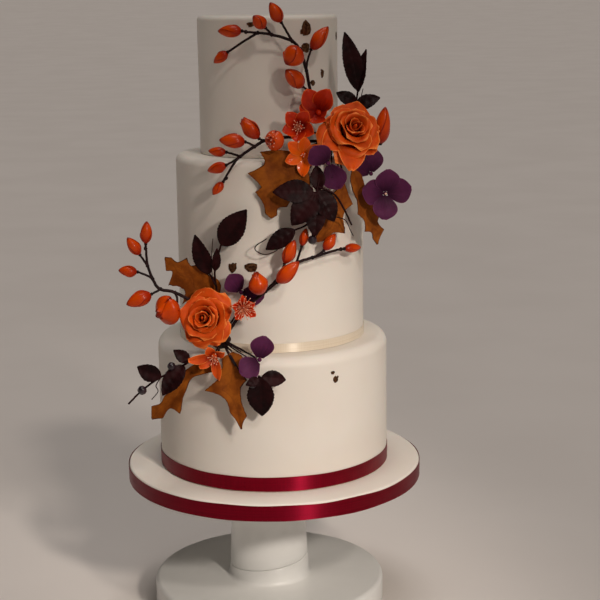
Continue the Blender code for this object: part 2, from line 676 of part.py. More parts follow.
def rose_petals(radius, depth, count, rows, columns, seed):
    """Grids of the inner petals of a rose that faces +Z, wound outwards by the golden angle."""
    rng = random.Random(seed)
    petals = []
    for k in range(count):
        s = k / (count - 1)
        turn = k * GOLDEN_ANGLE + rng.uniform(-0.15, 0.15)
        belly = radius * (0.17 + 0.62 * s)
        rim = radius * (0.10 + 0.84 * s**0.9)
        top = depth * (1.0 - 0.42 * s**1.5)
        half = math.radians(95 - 45 * s)
        curl = radius * 0.12 * s
        foot = radius * (0.07 + 0.19 * s)
        grid = []
        for i in range(rows):
            t = i / (rows - 1)
            swell = math.sin(math.pi / 2 * min(1.0, t / 0.6))
            open_out = max(0.0, (t - 0.6) / 0.4)
            roll = max(0.0, (t - 0.75) / 0.25) ** 2
            r = foot + (belly - foot) * swell + (rim - belly) * open_out + curl * roll
            z = top * (0.08 + 0.92 * t**1.15) - curl * 0.9 * roll
            widening = math.sin(math.pi * 0.6 * min(1.0, t / 0.9)) / math.sin(math.pi * 0.6)
            spread = half * (0.60 + 0.40 * widening) * (1 - 0.30 * max(0.0, (t - 0.7) / 0.3) ** 2)
            line = []
            for j in range(columns):
                u = 2 * j / (columns - 1) - 1
                a = turn + u * spread
                out = r * (1 + 0.05 * u * t)
                line.append((out * math.cos(a), out * math.sin(a), z - depth * 0.10 * t * u * u))
            grid.append(line)
        petals.append(np.array(grid))
    return petals


def build_roses():
    for name, (base, face, radius, depth, count, seed, spread) in ROSES.items():
        base = np.asarray(base, float)
        forward = unit(np.subtract(face, base))
        turn = flower_axes(forward)
        grids = rose_petals(radius, depth, count, 4, 3, seed)
        for direction, share in spread:
            broad = flower_petal(radius * share, radius * 0.8, (40, -4), 3, 3, 0.12, 1.1, 1.0)
            grids.append(about_z(broad, math.radians(direction)) + (0, 0, radius * 0.10))
        pieces = [shell("petal", base + grid @ turn, PETAL_THICKNESS, "rose_orange") for grid in grids]
        back = (radius * 0.32, radius * 0.32, radius * 0.13)
        foot = base + forward * radius * 0.10
        pieces.append(ball("back", foot, back, "rose_orange", 8, 4, tuple(forward)))
        core = (radius * 0.17, radius * 0.17, depth * 0.48)
        union(ball(name, base + forward * depth * 0.42, core, "rose_orange", 7, 4, tuple(forward)), pieces)


def flower_petal(length, width, angles, rows, columns, cup, blunt, twist):
    """Grid of a petal that leaves the middle of a flower facing +Z, lifted by angles[0] degrees at first and
    by angles[1] at its rim. Its twist sets one long edge above the next petal's."""
    grid = []
    r, z = 2.3, 0.0
    step = length / (rows - 1)
    for i in range(rows):
        t = i / (rows - 1)
        lift = math.radians(angles[0] + (angles[1] - angles[0]) * t)
        half = width / 2 * max(0.16, math.sin(math.pi * (0.06 + 0.94 * t**blunt)) ** 0.7)
        line = []
        for j in range(columns):
            u = 2 * j / (columns - 1) - 1
            hollow = cup * half * u * u + twist * u * t
            line.append((r - hollow * math.sin(lift), u * half, z + hollow * math.cos(lift)))
        grid.append(line)
        r += step * math.cos(lift)
        z += step * math.sin(lift)
    return np.array(grid)


def about_z(grid, angle):
    c, s = math.cos(angle), math.sin(angle)
    return grid @ np.array([[c, s, 0], [-s, c, 0], [0, 0, 1]])


def build_flowers():
    for index, (name, (base, face, length, width, angles, petals)) in enumerate(FLOWERS.items()):
        rng = random.Random(index + 20)
        base = np.asarray(base, float)
        forward = unit(np.subtract(face, base))
        turn = flower_axes(forward)
        slot = "rose_orange" if name in ("flower_star", "flower_under") else "flower_red"
        pieces = []
        for direction, share in petals:
            opening = (angles[0], angles[1] + rng.uniform(-4, 4))
            grid = flower_petal(length * share, width, opening, 3, 3, 0.25, 1.1, 1.6)
            grid = about_z(grid, math.radians(direction))
            pieces.append(shell("petal", base + grid @ turn, PETAL_THICKNESS, slot))
        union(ball(name, base, (3.2, 3.2, 3.4), slot, 6, 4, tuple(forward)), pieces)


def build_florets():
    for name, (centre, face, length, width, directions) in FLORETS.items():
        centre = np.asarray(centre, float)
        forward = unit(np.subtract(face, centre))
        turn = flower_axes(forward)
        pieces = []
        for k, direction in enumerate(directions):
            grid = flower_petal(length, width, (26 + 8 * (k % 2), 4), 4, 3, 0.10, 1.25, 0.8)
            grid = about_z(grid, math.radians(direction))
            pieces.append(shell("petal", centre + grid @ turn, PETAL_THICKNESS, "petal_violet"))
        union(ball(name, centre, (3.2, 3.2, 2.4), "petal_violet", 6, 4, tuple(forward)), pieces)


def oak_leaf(name, foot, tip, facing, sag, fold, left, right):
    rng = random.Random(name)
    foot = np.asarray(foot, float)
    length = np.linalg.norm(np.subtract(tip, foot))
    turn = leaf_axes(np.subtract(tip, foot), facing)
    foot_knot, tip_knot = (0.0, 0.012), (1.0, 0.010)
    grid = []
    for near, far in zip((foot_knot, *left, tip_knot), (foot_knot, *right, tip_knot)):
        ends = np.array([(-near[1], near[0]), (far[1], far[0])]) * length
        line = []
        for x, y in (ends[0], ends.mean(0), ends[1]):
            t = y / length
            wave = rng.uniform(-1.2, 1.2) * min(1.0, abs(x) / 15)
            line.append((x, y, fold * abs(x) + 4 * sag * t * (1 - t) + wave))
        grid.append(line)
    shell(name, foot + np.array(grid) @ turn, LEAF_THICKNESS, "leaf_amber")


def plum_leaf(foot, tip, width, facing, rows=4, columns=3):
    """A pointed oval leaf, folded a little along its midrib."""
    foot = np.asarray(foot, float)
    length = np.linalg.norm(np.subtract(tip, foot))
    turn = leaf_axes(np.subtract(tip, foot), facing)
    grid = []
    for i in range(rows):
        t = i / (rows - 1)
        half = width / 2 * max(0.07, math.sin(math.pi * t**0.85) ** 0.75)
        line = []
        for j in range(columns):
            u = 2 * j / (columns - 1) - 1
            line.append((u * half, t * length, 0.22 * half * abs(u) + 0.20 * length * t * (1 - t)))
        grid.append(line)
    return shell("leaf", foot + np.array(grid) @ turn, LEAF_THICKNESS, "leaf_plum")


def build_leaves():
    for name, values in OAK_LEAVES.items():
        oak_leaf(name, *values)
    for name, spray in LEAF_SPRAYS.items():
        stalks = [tube(name, points, TWIG_RADIUS, "leaf_plum", resolution=0) for points in spray["stalks"]]
        leaves = [plum_leaf(*leaf) for leaf in spray["leaves"]]
        berries = [ball("berry", centre, (r, r, r), "leaf_plum", 6, 4) for centre, r in spray["berries"]]
        union(stalks[0], stalks[1:] + leaves + berries)


def main():
    clear_scene()
    build_stand()
    build_cake()
    build_stems()
    build_buds()
    build_roses()
    build_flowers()
    build_florets()
    build_leaves()


main()
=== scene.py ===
"""Looks of the tiered wedding cake: iced tiers, satin ribbons, two sprays of sugar flowers, and the stand.

Lengths are in millimetres in the tables and the shape functions, and MM turns them into metres where they
become a mesh. +Z is up and -Y is the front, as in the frame. Each point of a piece also carries a tone of
three values that its material reads: how near it is to a rim, its place from foot to tip, and its place from
side to side.
"""

import math
import random

import bmesh
import bpy
import numpy as np
from mathutils import Matrix, Vector


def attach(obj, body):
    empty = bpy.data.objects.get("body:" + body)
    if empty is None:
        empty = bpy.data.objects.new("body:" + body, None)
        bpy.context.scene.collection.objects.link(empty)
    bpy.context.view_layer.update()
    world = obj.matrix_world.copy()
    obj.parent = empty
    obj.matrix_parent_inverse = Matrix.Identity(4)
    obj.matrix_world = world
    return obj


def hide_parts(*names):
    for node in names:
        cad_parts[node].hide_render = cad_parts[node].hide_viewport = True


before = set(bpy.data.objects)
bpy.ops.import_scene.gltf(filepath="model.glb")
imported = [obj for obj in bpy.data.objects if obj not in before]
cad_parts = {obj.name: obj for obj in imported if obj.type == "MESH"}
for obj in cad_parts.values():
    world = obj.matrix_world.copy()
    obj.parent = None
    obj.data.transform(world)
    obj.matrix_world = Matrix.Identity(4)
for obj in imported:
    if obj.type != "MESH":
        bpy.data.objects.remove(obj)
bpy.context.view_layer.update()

MM = 0.001
GAP = 0.3
AROUND = 180
GOLDEN_ANGLE = math.radians(137.5)

# Camera of the photograph, which is 600 by 600 pixels: its place in metres, its angles and its lens
CAMERA_PLACE = (0.0316, -1.563, 0.688)
CAMERA_PITCH = math.radians(11.94)
CAMERA_ROLL = math.radians(-0.69)
CAMERA_LENS = 85.38

# Stand, drum, tiers and ribbons
STAND_ACROSS = -8.0
FOOT_RADIUS = 132.0
FOOT_HEIGHT = 35.0
FOOT_FILLET = 5.0
NECK_FOOT_RADIUS = 46.0
NECK_TOP_RADIUS = 40.0
NECK_JOINT_HEIGHT = 53.0
NECK_JOINT_SLANT = math.radians(7)
PLATE_RADIUS = 154.0
PLATE_THICKNESS = 8.0
PLATE_UNDERSIDE = 149.5
DRUM_RADIUS = 165.5
DRUM_THICKNESS = 18.5
DRUM_FILLET = 2.5
TIER_RADII = (128.5, 102.5, 75.5)
TIER_HEIGHTS = (146.0, 203.0, 147.0)
TIER_FILLETS = (11.0, 8.0, 5.0)
DRUM_RIBBON = 17.0
WIDE_RIBBON = 16.0
RIBBON_LIFT = 1.2
NARROW_RIBBON = 10.0
RIBBON_OFF_WALL = 0.35
RIBBON_THICKNESS = 0.35
DRUM_UNDERSIDE = PLATE_UNDERSIDE + PLATE_THICKNESS
DRUM_TOP = DRUM_UNDERSIDE + DRUM_THICKNESS
TIER_BASES = (DRUM_TOP, DRUM_TOP + TIER_HEIGHTS[0], DRUM_TOP + TIER_HEIGHTS[0] + TIER_HEIGHTS[1])

# Sugar work
PETAL_THICKNESS = 0.9
OAK_THICKNESS = 1.1
PLUM_THICKNESS = 1.0
STEM_RADIUS = 1.7
TWIG_RADIUS = 1.2
WIRE_RADIUS = 0.9
BUD_CLEARANCE = 1.1
BINDINGS = {
    "stems_upper": ((66, -68, 545), (12, 10, 15)),
    "stems_lower": ((-52, -108, 339), (11, 9, 11)),
}
TWIGS = {
    "bud_upper": (
        (64, -70, 556), (54, -74, 572), (46, -76, 590), (41, -79, 616), (35, -84, 635), (27, -88, 646),
        (6, -93, 653), (-8, -94, 655), (-20, -93, 656),
    ),
    "bud_left": (
        (58, -74, 543), (40, -86, 544), (22, -93, 549), (-1, -103, 547), (-13, -107, 541), (-28, -108, 531),
        (-35, -108, 523), (-45, -105, 507),
    ),
    "bud_right": (
        (-46, -106, 344), (-33, -105, 362), (-18, -109, 379), (-4, -113, 391), (11, -113, 406),
        (28, -112, 420), (45, -107, 425), (69, -94, 430), (78, -86, 430),
    ),
    "bud_outer": (
        (-58, -106, 345), (-76, -98, 372), (-99, -104, 389), (-115, -104, 393), (-122, -104, 404),
        (-127, -104, 420), (-128, -104, 440),
    ),
}
WIRES = {
    "stems_upper": (
        ((53, -84, 573), 6.0),
        ((34, -98, 559), 6.0),
        ((37, -107, 532), 6.0),
        ((62, -107, 523), 4.0),
        ((88, -86, 514), 1.5),
        ((79, -90, 500), 1.5),
        ((27, -104, 535), 1.5),
        ((92, -62, 572), 1.5),
        ((108, -68, 507), 7.0),
        ((83, -77, 549), 8.0),
    ),
    "stems_lower": (
        ((-29, -120, 376), 6.0),
        ((-58, -133, 328), 6.0),
        ((-39, -131, 331), 1.5),
        ((-11, -138, 324), 4.0),
        ((-59, -120, 312), 1.5),
        ((-56, -98, 390), 2.0),
        ((-65, -106, 361), 8.0),
    ),
}

# Loose ends of wire that fan out of each binding
LOOSE_WIRES = {
    "stems_upper": ((74, -104, 512), (66, -108, 508), (42, -112, 517)),
    "stems_lower": ((-24, -134, 326), (-30, -134, 332), (-36, -139, 318), (-31, -142, 312)),
}

# Buds: base, tip, greatest width, and the point of the twig that the stalk leaves
BUDS = {
    "bud_upper_1": ((46, -79, 637), (64, -76, 660), 15.0, (41, -79, 616)),
    "bud_upper_2": ((16, -92, 665), (5, -97, 685), 14.0, (27, -88, 646)),
    "bud_upper_3": ((0, -98, 660), (-12, -106, 672), 14.0, (6, -93, 653)),
    "bud_upper_4": ((-24, -92, 657), (-49, -84, 657), 13.5, (-20, -93, 656)),
    "bud_upper_5": ((-39, -88, 636), (-54, -81, 625), 11.0, (-8, -94, 655)),
    "bud_upper_6": ((35, -98, 639), (20, -108, 624), 23.0, (35, -84, 635)),
    "bud_upper_7": ((37, -88, 600), (20, -102, 618), 17.0, (46, -76, 594)),
    "bud_upper_8": ((118, -66, 538), (123, -71, 577), 17.0, (72, -66, 538)),
    "bud_left_1": ((-8, -108, 549), (-26, -103, 569), 16.0, (-1, -103, 547)),
    "bud_left_2": ((-22, -109, 546), (-49, -106, 548), 15.5, (-13, -107, 541)),
    "bud_left_3": ((-42, -102, 535), (-61, -96, 536), 10.5, (-28, -108, 531)),
    "bud_left_4": ((-42, -112, 523), (-62, -101, 516), 12.0, (-28, -108, 531)),
    "bud_left_5": ((-46, -105, 505), (-57, -107, 492), 10.0, (-45, -105, 507)),
    "bud_left_6": ((12, -107, 547), (3, -125, 549), 20.0, (14, -96, 548)),
    "bud_right_1": ((79, -85, 430), (97, -70, 429), 10.0, (78, -86, 430)),
    "bud_right_2": ((57, -106, 432), (69, -103, 449), 12.0, (45, -107, 425)),
    "bud_right_3": ((34, -113, 438), (39, -114, 457), 10.0, (28, -112, 420)),
    "bud_right_4": ((16, -124, 422), (27, -128, 447), 14.0, (11, -113, 406)),
    "bud_right_5": ((8, -128, 403), (31, -130, 425), 16.5, (-4, -113, 391)),
    "bud_right_6": ((-9, -121, 389), (-14, -128, 414), 20.0, (-4, -113, 391)),
    "bud_outer_1": ((-128, -104, 441), (-126, -106, 465), 13.0, (-128, -104, 440)),
    "bud_outer_2": ((-134, -107, 430), (-146, -111, 449), 13.0, (-127, -104, 418)),
    "bud_outer_3": ((-137, -107, 412), (-157, -107, 414), 12.5, (-122, -104, 404)),
    "bud_outer_4": ((-123, -110, 389), (-149, -115, 379), 17.0, (-114, -104, 393)),
    "bud_outer_5": ((-97, -110, 376), (-116, -131, 371), 31.0, (-99, -104, 389)),
}

# Buds whose outer petals have begun to part, and the share of the width to which these close at their rims
PARTING_BUDS = {"bud_left_6": 0.42, "bud_outer_5": 0.35, "bud_left_1": 0.50, "bud_right_6": 0.42}

# Roses: the back of the flower, the point that it faces, radius, depth, number of inner petals, seed, and the
# directions in degrees and shares of the radius of the broad petals that spread below them
ROSES = {
    "rose_upper": (
        (83, -77, 547), (94, -110, 566), 31.0, 37.0, 13, 3,
        ((4, 1.02), (62, 0.9), (150, 0.95), (205, 1.25), (258, 1.55), (310, 1.08)),
    ),
    "rose_lower": (
        (-65, -106, 361), (-72, -140, 370), 28.0, 31.0, 12, 8,
        ((20, 1.05), (95, 1.0), (165, 1.0), (235, 1.05), (300, 1.15)),
    ),
}

# Open flowers: base, a point that they face, petal length, petal width, how far the petals lift at foot and
# rim in degrees, and each petal's direction in degrees and share of the length
FLOWERS = {
    "flower_upper": (
        (53, -84, 573), (50, -104, 576), 20.0, 22.0, (42, 18),
        ((62, 1.4), (118, 1.35), (165, 1.0), (250, 0.6), (322, 0.4)),
    ),
    "flower_middle": (
        (34, -98, 559), (30, -118, 563), 20.0, 16.0, (54, 22),
        ((60, 1.0), (132, 1.05), (200, 0.95), (268, 0.9), (340, 1.0)),
    ),
    "flower_star": (
        (37, -107, 532), (37, -128, 533), 19.0, 13.0, (34, 4),
        ((22, 1.1), (84, 0.9), (140, 1.0), (200, 1.0), (268, 1.1), (322, 0.7)),
    ),
    "flower_side": (
        (-29, -120, 376), (-23, -139, 377), 15.0, 10.5, (52, 26),
        ((20, 0.9), (100, 1.0), (170, 0.9), (232, 1.0), (325, 1.1)),
    ),
    "flower_under": (
        (-58, -133, 328), (-58, -150, 323), 19.0, 10.5, (40, 10),
        ((30, 0.6), (120, 0.7), (178, 1.4), (212, 0.95), (280, 1.3)),
    ),
}

# Hydrangea florets: centre, a point that they face, petal length, petal width, petal directions in degrees
FLORETS = {
    "floret_right": ((122, -84, 488), (127, -106, 488), 26.0, 27.0, (12, 88, 170, 262)),
    "floret_back": ((108, -68, 507), (114, -88, 513), 24.0, 21.0, (78, 150)),
    "floret_middle": ((62, -107, 523), (64, -127, 518), 27.0, 26.0, (-66, 132)),
    "floret_lower": ((-30, -101, 388), (-26, -123, 388), 23.0, 23.0, (125, -10)),
    "floret_ledge": ((-11, -138, 324), (-9, -160, 329), 24.0, 25.0, (78, 214)),
}

# Oak leaves: foot, tip, the way that they face, sag towards that side, fold, then the rim on each side of the
# straight line from foot to tip, as knots of (place along the line, reach from it) in shares of the leaf's
# length. A knot with POINT is the tip of a lobe, and the rim bends softly through the others
POINT = True
OAK_LEAVES = {
    "oak_leaf_left": (
        (27, -104, 535), (3, -109, 467), (-0.1, -1.0, 0.15), 3.0, 0.06,
        (
            (0.10, 0.18), (0.26, 0.34), (0.44, 0.40, POINT), (0.56, 0.25), (0.67, 0.19), (0.77, 0.17, POINT),
            (0.83, 0.05), (0.93, 0.07, POINT),
        ),
        (
            (0.06, 0.25), (0.16, 0.45, POINT), (0.29, 0.34), (0.50, 0.51, POINT), (0.61, 0.29),
            (0.72, 0.33, POINT), (0.84, 0.17), (0.97, 0.10, POINT),
        ),
    ),
    "oak_leaf_right": (
        (88, -86, 514), (115, -66, 431), (0.55, -0.8, 0.1), 4.0, 0.10,
        (
            (0.09, 0.08), (0.22, 0.07), (0.35, 0.05), (0.48, 0.08), (0.66, 0.13, POINT), (0.74, 0.08),
            (0.87, 0.14, POINT), (0.95, 0.04),
        ),
        (
            (0.08, 0.10), (0.22, 0.13), (0.36, 0.12), (0.49, 0.18, POINT), (0.62, 0.11), (0.74, 0.15, POINT),
            (0.80, 0.06), (0.89, 0.06, POINT),
        ),
    ),
    "oak_leaf_centre": (
        (79, -90, 500), (50, -100, 440), (0.5, -0.87, 0.0), 2.0, 0.06,
        (
            (0.11, 0.14), (0.23, 0.28, POINT), (0.36, 0.20), (0.48, 0.21), (0.59, 0.30), (0.69, 0.37, POINT),
            (0.76, 0.19), (0.89, 0.17, POINT),
        ),
        (
            (0.15, 0.10), (0.29, 0.15), (0.42, 0.24, POINT), (0.52, 0.13), (0.63, 0.12), (0.75, 0.18, POINT),
            (0.83, 0.08), (0.93, 0.07, POINT),
        ),
    ),
    "oak_leaf_back": (
        (-53, -90, 385), (-110, -90, 424), (-0.1, -0.95, -0.2), 1.5, 0.05,
        (
            (0.14, 0.26), (0.29, 0.29), (0.38, 0.48, POINT), (0.46, 0.28), (0.58, 0.28), (0.72, 0.34, POINT),
            (0.78, 0.13), (0.87, 0.17, POINT),
        ),
        (
            (0.06, 0.13), (0.18, 0.19), (0.34, 0.18), (0.50, 0.26, POINT), (0.60, 0.13), (0.72, 0.20, POINT),
            (0.80, 0.06), (0.92, 0.06, POINT),
        ),
    ),
    "oak_leaf_outer": (
        (-59, -120, 312), (-126, -122, 257), (-0.55, -0.75, 0.45), 6.0, 0.08,
        (
            (0.03, 0.05), (0.15, 0.00), (0.30, -0.04), (0.43, 0.05), (0.54, 0.15), (0.64, 0.26, POINT),
            (0.72, 0.09), (0.87, 0.11, POINT),
        ),
        (
            (0.05, 0.13), (0.18, 0.19), (0.33, 0.18), (0.48, 0.12), (0.59, 0.08), (0.69, 0.10, POINT),
            (0.79, 0.06), (0.91, 0.12, POINT),
        ),
    ),
    "oak_leaf_front": (
        (-39, -131, 331), (-31, -143, 251), (-0.35, -0.95, 0.0), 4.0, 0.08,
        (
            (0.06, 0.13), (0.22, 0.14), (0.37, 0.18, POINT), (0.46, 0.09), (0.58, 0.07), (0.70, 0.08),
            (0.83, 0.11, POINT), (0.92, 0.04),
        ),
        (
            (0.07, 0.13), (0.21, 0.16), (0.35, 0.25), (0.46, 0.43, POINT), (0.53, 0.22), (0.64, 0.13),
            (0.77, 0.11, POINT), (0.87, 0.05),
        ),
    ),
}

# Sprays of plum leaves: stalks, leaves (foot, tip, width, facing), berries (centre, radius) and thin tendrils
LEAF_SPRAYS = {
    "plum_leaves_upper": {
        "stalks": (((92, -62, 572), (95, -62, 597)),),
        "leaves": (
            ((95, -62, 594), (81, -62, 654), 21.0, (0.2, -1.0, 0.1)),
            ((95, -62, 592), (104, -60, 636), 14.0, (-0.6, -0.8, 0.0)),
            ((93, -62, 580), (72, -65, 592), 15.0, (-0.1, -0.9, 0.4)),
            ((93, -62, 577), (118, -60, 586), 17.0, (0.1, -0.8, 0.6)),
        ),
        "berries": (),
        "tendrils": (((99, -64, 575), (98, -66, 586), (100, -66, 596)),),
    },
    "plum_leaves_middle": {
        "stalks": (
            ((53, -112, 508), (50, -117, 494), (49, -118, 478), (40, -118, 462), (25, -117, 455)),
            ((49, -118, 480), (46, -120, 464), (45, -122, 448)),
            ((52, -116, 500), (68, -116, 492), (78, -110, 476), (86, -102, 458)),
        ),
        "leaves": (
            ((47, -117, 495), (5, -122, 496), 24.0, (-0.1, -0.95, 0.3)),
            ((50, -117, 494), (24, -126, 462), 28.0, (-0.2, -1.0, 0.0)),
            ((50, -116, 496), (68, -116, 464), 24.0, (0.4, -0.9, 0.0)),
            ((49, -118, 484), (47, -124, 450), 21.0, (0.1, -1.0, 0.1)),
            ((27, -117, 456), (-3, -118, 436), 19.0, (-0.1, -1.0, 0.2)),
            ((52, -115, 496), (50, -106, 521), 16.0, (0.0, -1.0, 0.0)),
        ),
        "berries": (((45, -121, 446), 4.6),),
        "tendrils": (
            (
                (-2, -117, 447), (-13, -118, 440), (-13, -119, 435), (-4, -119, 431), (7, -117, 434),
                (14, -115, 441),
            ),
            ((60, -116, 482), (66, -113, 470), (79, -106, 464), (85, -102, 452), (88, -100, 446)),
        ),
    },
    "plum_leaves_high": {
        "stalks": (((-56, -98, 390), (-57, -100, 412), (-49, -104, 442)), ((-57, -99, 396), (-64, -98, 410))),
        "leaves": (
            ((-50, -104, 439), (-22, -113, 477), 27.0, (-0.2, -1.0, 0.0)),
            ((-63, -98, 407), (-77, -98, 449), 20.0, (-0.3, -1.0, 0.0)),
            ((-57, -100, 411), (-54, -106, 436), 10.0, (0.3, -1.0, 0.0)),
        ),
        "berries": (),
        "tendrils": (((-60, -99, 402), (-60, -104, 424), (-58, -106, 446)),),
    },
    "plum_leaves_outer": {
        "stalks": (
            ((-82, -129, 322), (-100, -132, 312), (-116, -132, 304), (-134, -131, 291), (-149, -130, 276)),
            ((-99, -132, 312), (-102, -136, 317)),
        ),
        "leaves": (
            ((-114, -132, 305), (-138, -133, 317), 19.0, (-0.2, -1.0, 0.1)),
            ((-90, -130, 317), (-112, -142, 288), 21.0, (-0.4, -1.0, 0.1)),
            ((-84, -129, 321), (-100, -132, 334), 13.0, (-0.1, -1.0, 0.4)),
        ),
        "berries": (((-102, -137, 318), 4.4), ((-134, -131, 291), 4.8)),
        "tendrils": (
            ((-114, -133, 305), (-119, -135, 297), (-117, -136, 291), (-124, -135, 282)),
        ),
    },
    "plum_leaves_ledge": {
        "stalks": (((-12, -149.5, 310), (-9, -149, 307)), ((-11, -149, 309), (-17, -152, 302))),
        "leaves": (
            ((-10, -149, 308), (-9, -146, 266), 28.0, (-0.1, -1.0, 0.0)),
            ((-9, -149, 308), (16, -144, 304), 17.0, (0.2, -1.0, 0.3)),
            ((-11, -151, 307), (-25, -156, 302), 10.0, (-0.2, -1.0, 0.2)),
        ),
        "berries": (((-18, -152, 301), 3.6),),
        "tendrils": (((-24, -140, 322), (-28, -143, 312), (-24, -146, 304)),),
    },
}

# Gold leaf pressed on the icing: tier, angle round from the front, height above the tier's base, width and
# height of the flake
GOLD_FLAKES = (
    (2, -9.8, 138.5, 15.0, 5.0),
    (2, 33, 133, 12.5, 17.0),
    (2, 32.5, 114, 11.0, 12.0),
    (2, 50, 86, 6.0, 9.0),
    (2, 39, 77, 6.5, 7.0),
    (2, 77, 124, 4.5, 9.0),
    (1, -22, 91, 10.0, 10.5),
    (1, -10.5, 92, 14.0, 11.0),
    (0, 30.5, 126, 5.0, 4.5),
    (0, 32, 118, 6.5, 8.0),
)


# Materials

class Look:
    """A material, its record slot, and short calls for the nodes that it is made of."""

    def __init__(self, name, slot, **values):
        self.slot = slot
        self.material = bpy.data.materials.new(name)
        self.material.use_nodes = True
        self.tree = self.material.node_tree
        self.shader = self.tree.nodes["Principled BSDF"]
        for socket, value in values.items():
            self.shader.inputs[socket.replace("_", " ")].default_value = value

    def put(self, kind, inputs, **settings):
        node = self.tree.nodes.new("ShaderNode" + kind)
        for key, value in settings.items():
            setattr(node, key, value)
        for key, value in inputs.items():
            if isinstance(value, bpy.types.NodeSocket):
                self.tree.links.new(value, node.inputs[key])
            else:
                node.inputs[key].default_value = value
        return node

    def place(self, stretch=(1, 1, 1)):
        """Object coordinates, scaled by the given shares."""
        source = self.put("TexCoord", {}).outputs["Object"]
        return self.put("Mapping", {"Vector": source, "Scale": stretch}).outputs["Vector"]

    def tone(self, stretch=(1, 1, 1)):
        """The tone of the surface as a vector, scaled by the given shares."""
        source = self.put("Attribute", {}, attribute_name="tone").outputs["Vector"]
        return self.put("Mapping", {"Vector": source, "Scale": stretch}).outputs["Vector"]

    def part_of(self, vector, axis):
        return self.put("SeparateXYZ", {"Vector": vector}).outputs[axis]

    def noise(self, vector, scale, detail=3.0, rough=0.5):
        inputs = {"Vector": vector, "Scale": scale, "Detail": detail, "Roughness": rough}
        return self.put("TexNoise", inputs).outputs[0]

    def sum(self, a, b, operation="ADD"):
        return self.put("Math", {0: a, 1: b}, operation=operation).outputs[0]

    def span(self, value, low, high, first=0.0, last=1.0):
        inputs = {"Value": value, "From Min": low, "From Max": high, "To Min": first, "To Max": last}
        return self.put("MapRange", inputs, interpolation_type="SMOOTHSTEP").outputs[0]

    def mix(self, share, a, b):
        pair = [(*c, 1.0) if isinstance(c, tuple) else c for c in (a, b)]
        return self.put("Mix", {0: share, 6: pair[0], 7: pair[1]}, data_type="RGBA").outputs[2]

    def colour(self, value):
        self.tree.links.new(value, self.shader.inputs["Base Color"])

    def roughness(self, value):
        self.tree.links.new(value, self.shader.inputs["Roughness"])

    def bump(self, heights):
        """Chained bumps from (height, strength, depth in millimetres)."""
        normal = None
        for height, strength, depth in heights:
            inputs = {"Height": height, "Strength": strength, "Distance": depth * MM}
            if normal is not None:
                inputs["Normal"] = normal
            normal = self.put("Bump", inputs).outputs["Normal"]
        self.tree.links.new(normal, self.shader.inputs["Normal"])


def icing_look():
    look = Look("icing", "icing", Subsurface_Weight=0.06, Subsurface_Scale=0.004, Specular_IOR_Level=0.35)
    place = look.place()
    cloud = look.noise(place, 9.0, 3.0)
    fine = look.noise(place, 1100.0, 2.0)
    look.colour(look.mix(look.span(cloud, 0.3, 0.7), (0.80, 0.735, 0.655), (0.84, 0.785, 0.71)))
    look.roughness(look.span(look.noise(place, 60.0), 0.3, 0.7, 0.48, 0.60))
    streaks = look.noise(look.place((1, 1, 0.18)), 42.0, 2.0)
    look.bump(((streaks, 0.10, 1.6), (look.noise(place, 130.0, 3.0), 0.10, 0.5), (fine, 0.14, 0.12)))
    return look


def satin_look(name, slot, thread, gap, tint):
    look = Look(
        name, slot, Anisotropic=0.94, Anisotropic_Rotation=0.25, IOR=1.75, Specular_IOR_Level=0.9,
        Specular_Tint=tint,
    )
    weft = look.noise(look.tone((6, 1100, 1)), 1.0, 2.0)
    warp = look.noise(look.tone((700, 30, 1)), 1.0, 2.0)
    threads = look.sum(weft, look.sum(warp, 0.5, "MULTIPLY"))
    look.colour(look.mix(look.span(threads, 0.45, 1.0), gap, thread))
    look.roughness(look.span(look.noise(look.tone((40, 60, 1)), 1.0), 0.3, 0.7, 0.39, 0.46))
    look.bump(((threads, 0.10, 0.15), (look.noise(look.tone((22, 30, 1)), 1.0, 2.0), 0.25, 1.2)))
    return look


def petal_look(name, slot, heart, body, rim, rough, **values):
    """Sugar petals: a deep heart towards each petal's foot, partly dusting and partly painted shade where the
    petals crowd together, a body with fine streaks from foot to rim, and a brushed rim.
    """
    look = Look(name, slot, Subsurface_Weight=0.10, Subsurface_Scale=0.003, **values)
    streaks = look.noise(look.tone((0, 2.5, 16)), 1.0, 4.0, 0.6)
    cloud = look.noise(look.place(), 90.0, 3.0)
    shade = look.sum(look.part_of(look.tone(), "Y"), look.sum(look.sum(streaks, -0.5), 0.5, "MULTIPLY"))
    # Petals darken to the heart colour towards their feet: partly dusting, partly painted shade in the
    # flower's hollow.
    body_with_heart_shade = look.mix(look.span(shade, 0.05, 0.72), heart, body)
    mottled = look.mix(look.span(cloud, 0.35, 0.75, 0.0, 0.35), body_with_heart_shade, heart)
    edge = look.sum(look.part_of(look.tone(), "X"), look.span(streaks, 0.3, 0.7, 0.55, 1.0), "MULTIPLY")
    look.colour(look.mix(look.span(edge, 0.15, 0.9), mottled, rim))
    look.roughness(look.span(cloud, 0.3, 0.7, rough - 0.05, rough + 0.08))
    look.bump(((streaks, 0.22, 0.5), (look.noise(look.place(), 900.0, 2.0), 0.12, 0.1)))
    return look


def oak_look():
    look = Look("oak_leaf", "leaf_amber", Roughness=0.65, Specular_IOR_Level=0.12)
    place = look.place()
    cloud = look.noise(place, 55.0, 4.0, 0.6)
    body = look.mix(look.span(cloud, 0.32, 0.70), (0.17, 0.037, 0.003), (0.35, 0.094, 0.008))
    vein = look.put("Attribute", {}, attribute_name="vein").outputs["Fac"]
    body = look.mix(look.sum(vein, 0.30, "MULTIPLY"), body, (0.13, 0.030, 0.003))
    ragged = look.span(look.noise(place, 110.0), 0.3, 0.7, -0.45, 0.15)
    burnt = look.sum(look.part_of(look.tone(), "X"), ragged)
    look.colour(look.mix(look.span(burnt, 0.20, 0.95), body, (0.040, 0.009, 0.002)))
    look.bump(((vein, 0.5, 0.5), (look.noise(place, 300.0, 4.0), 0.35, 0.3)))
    return look


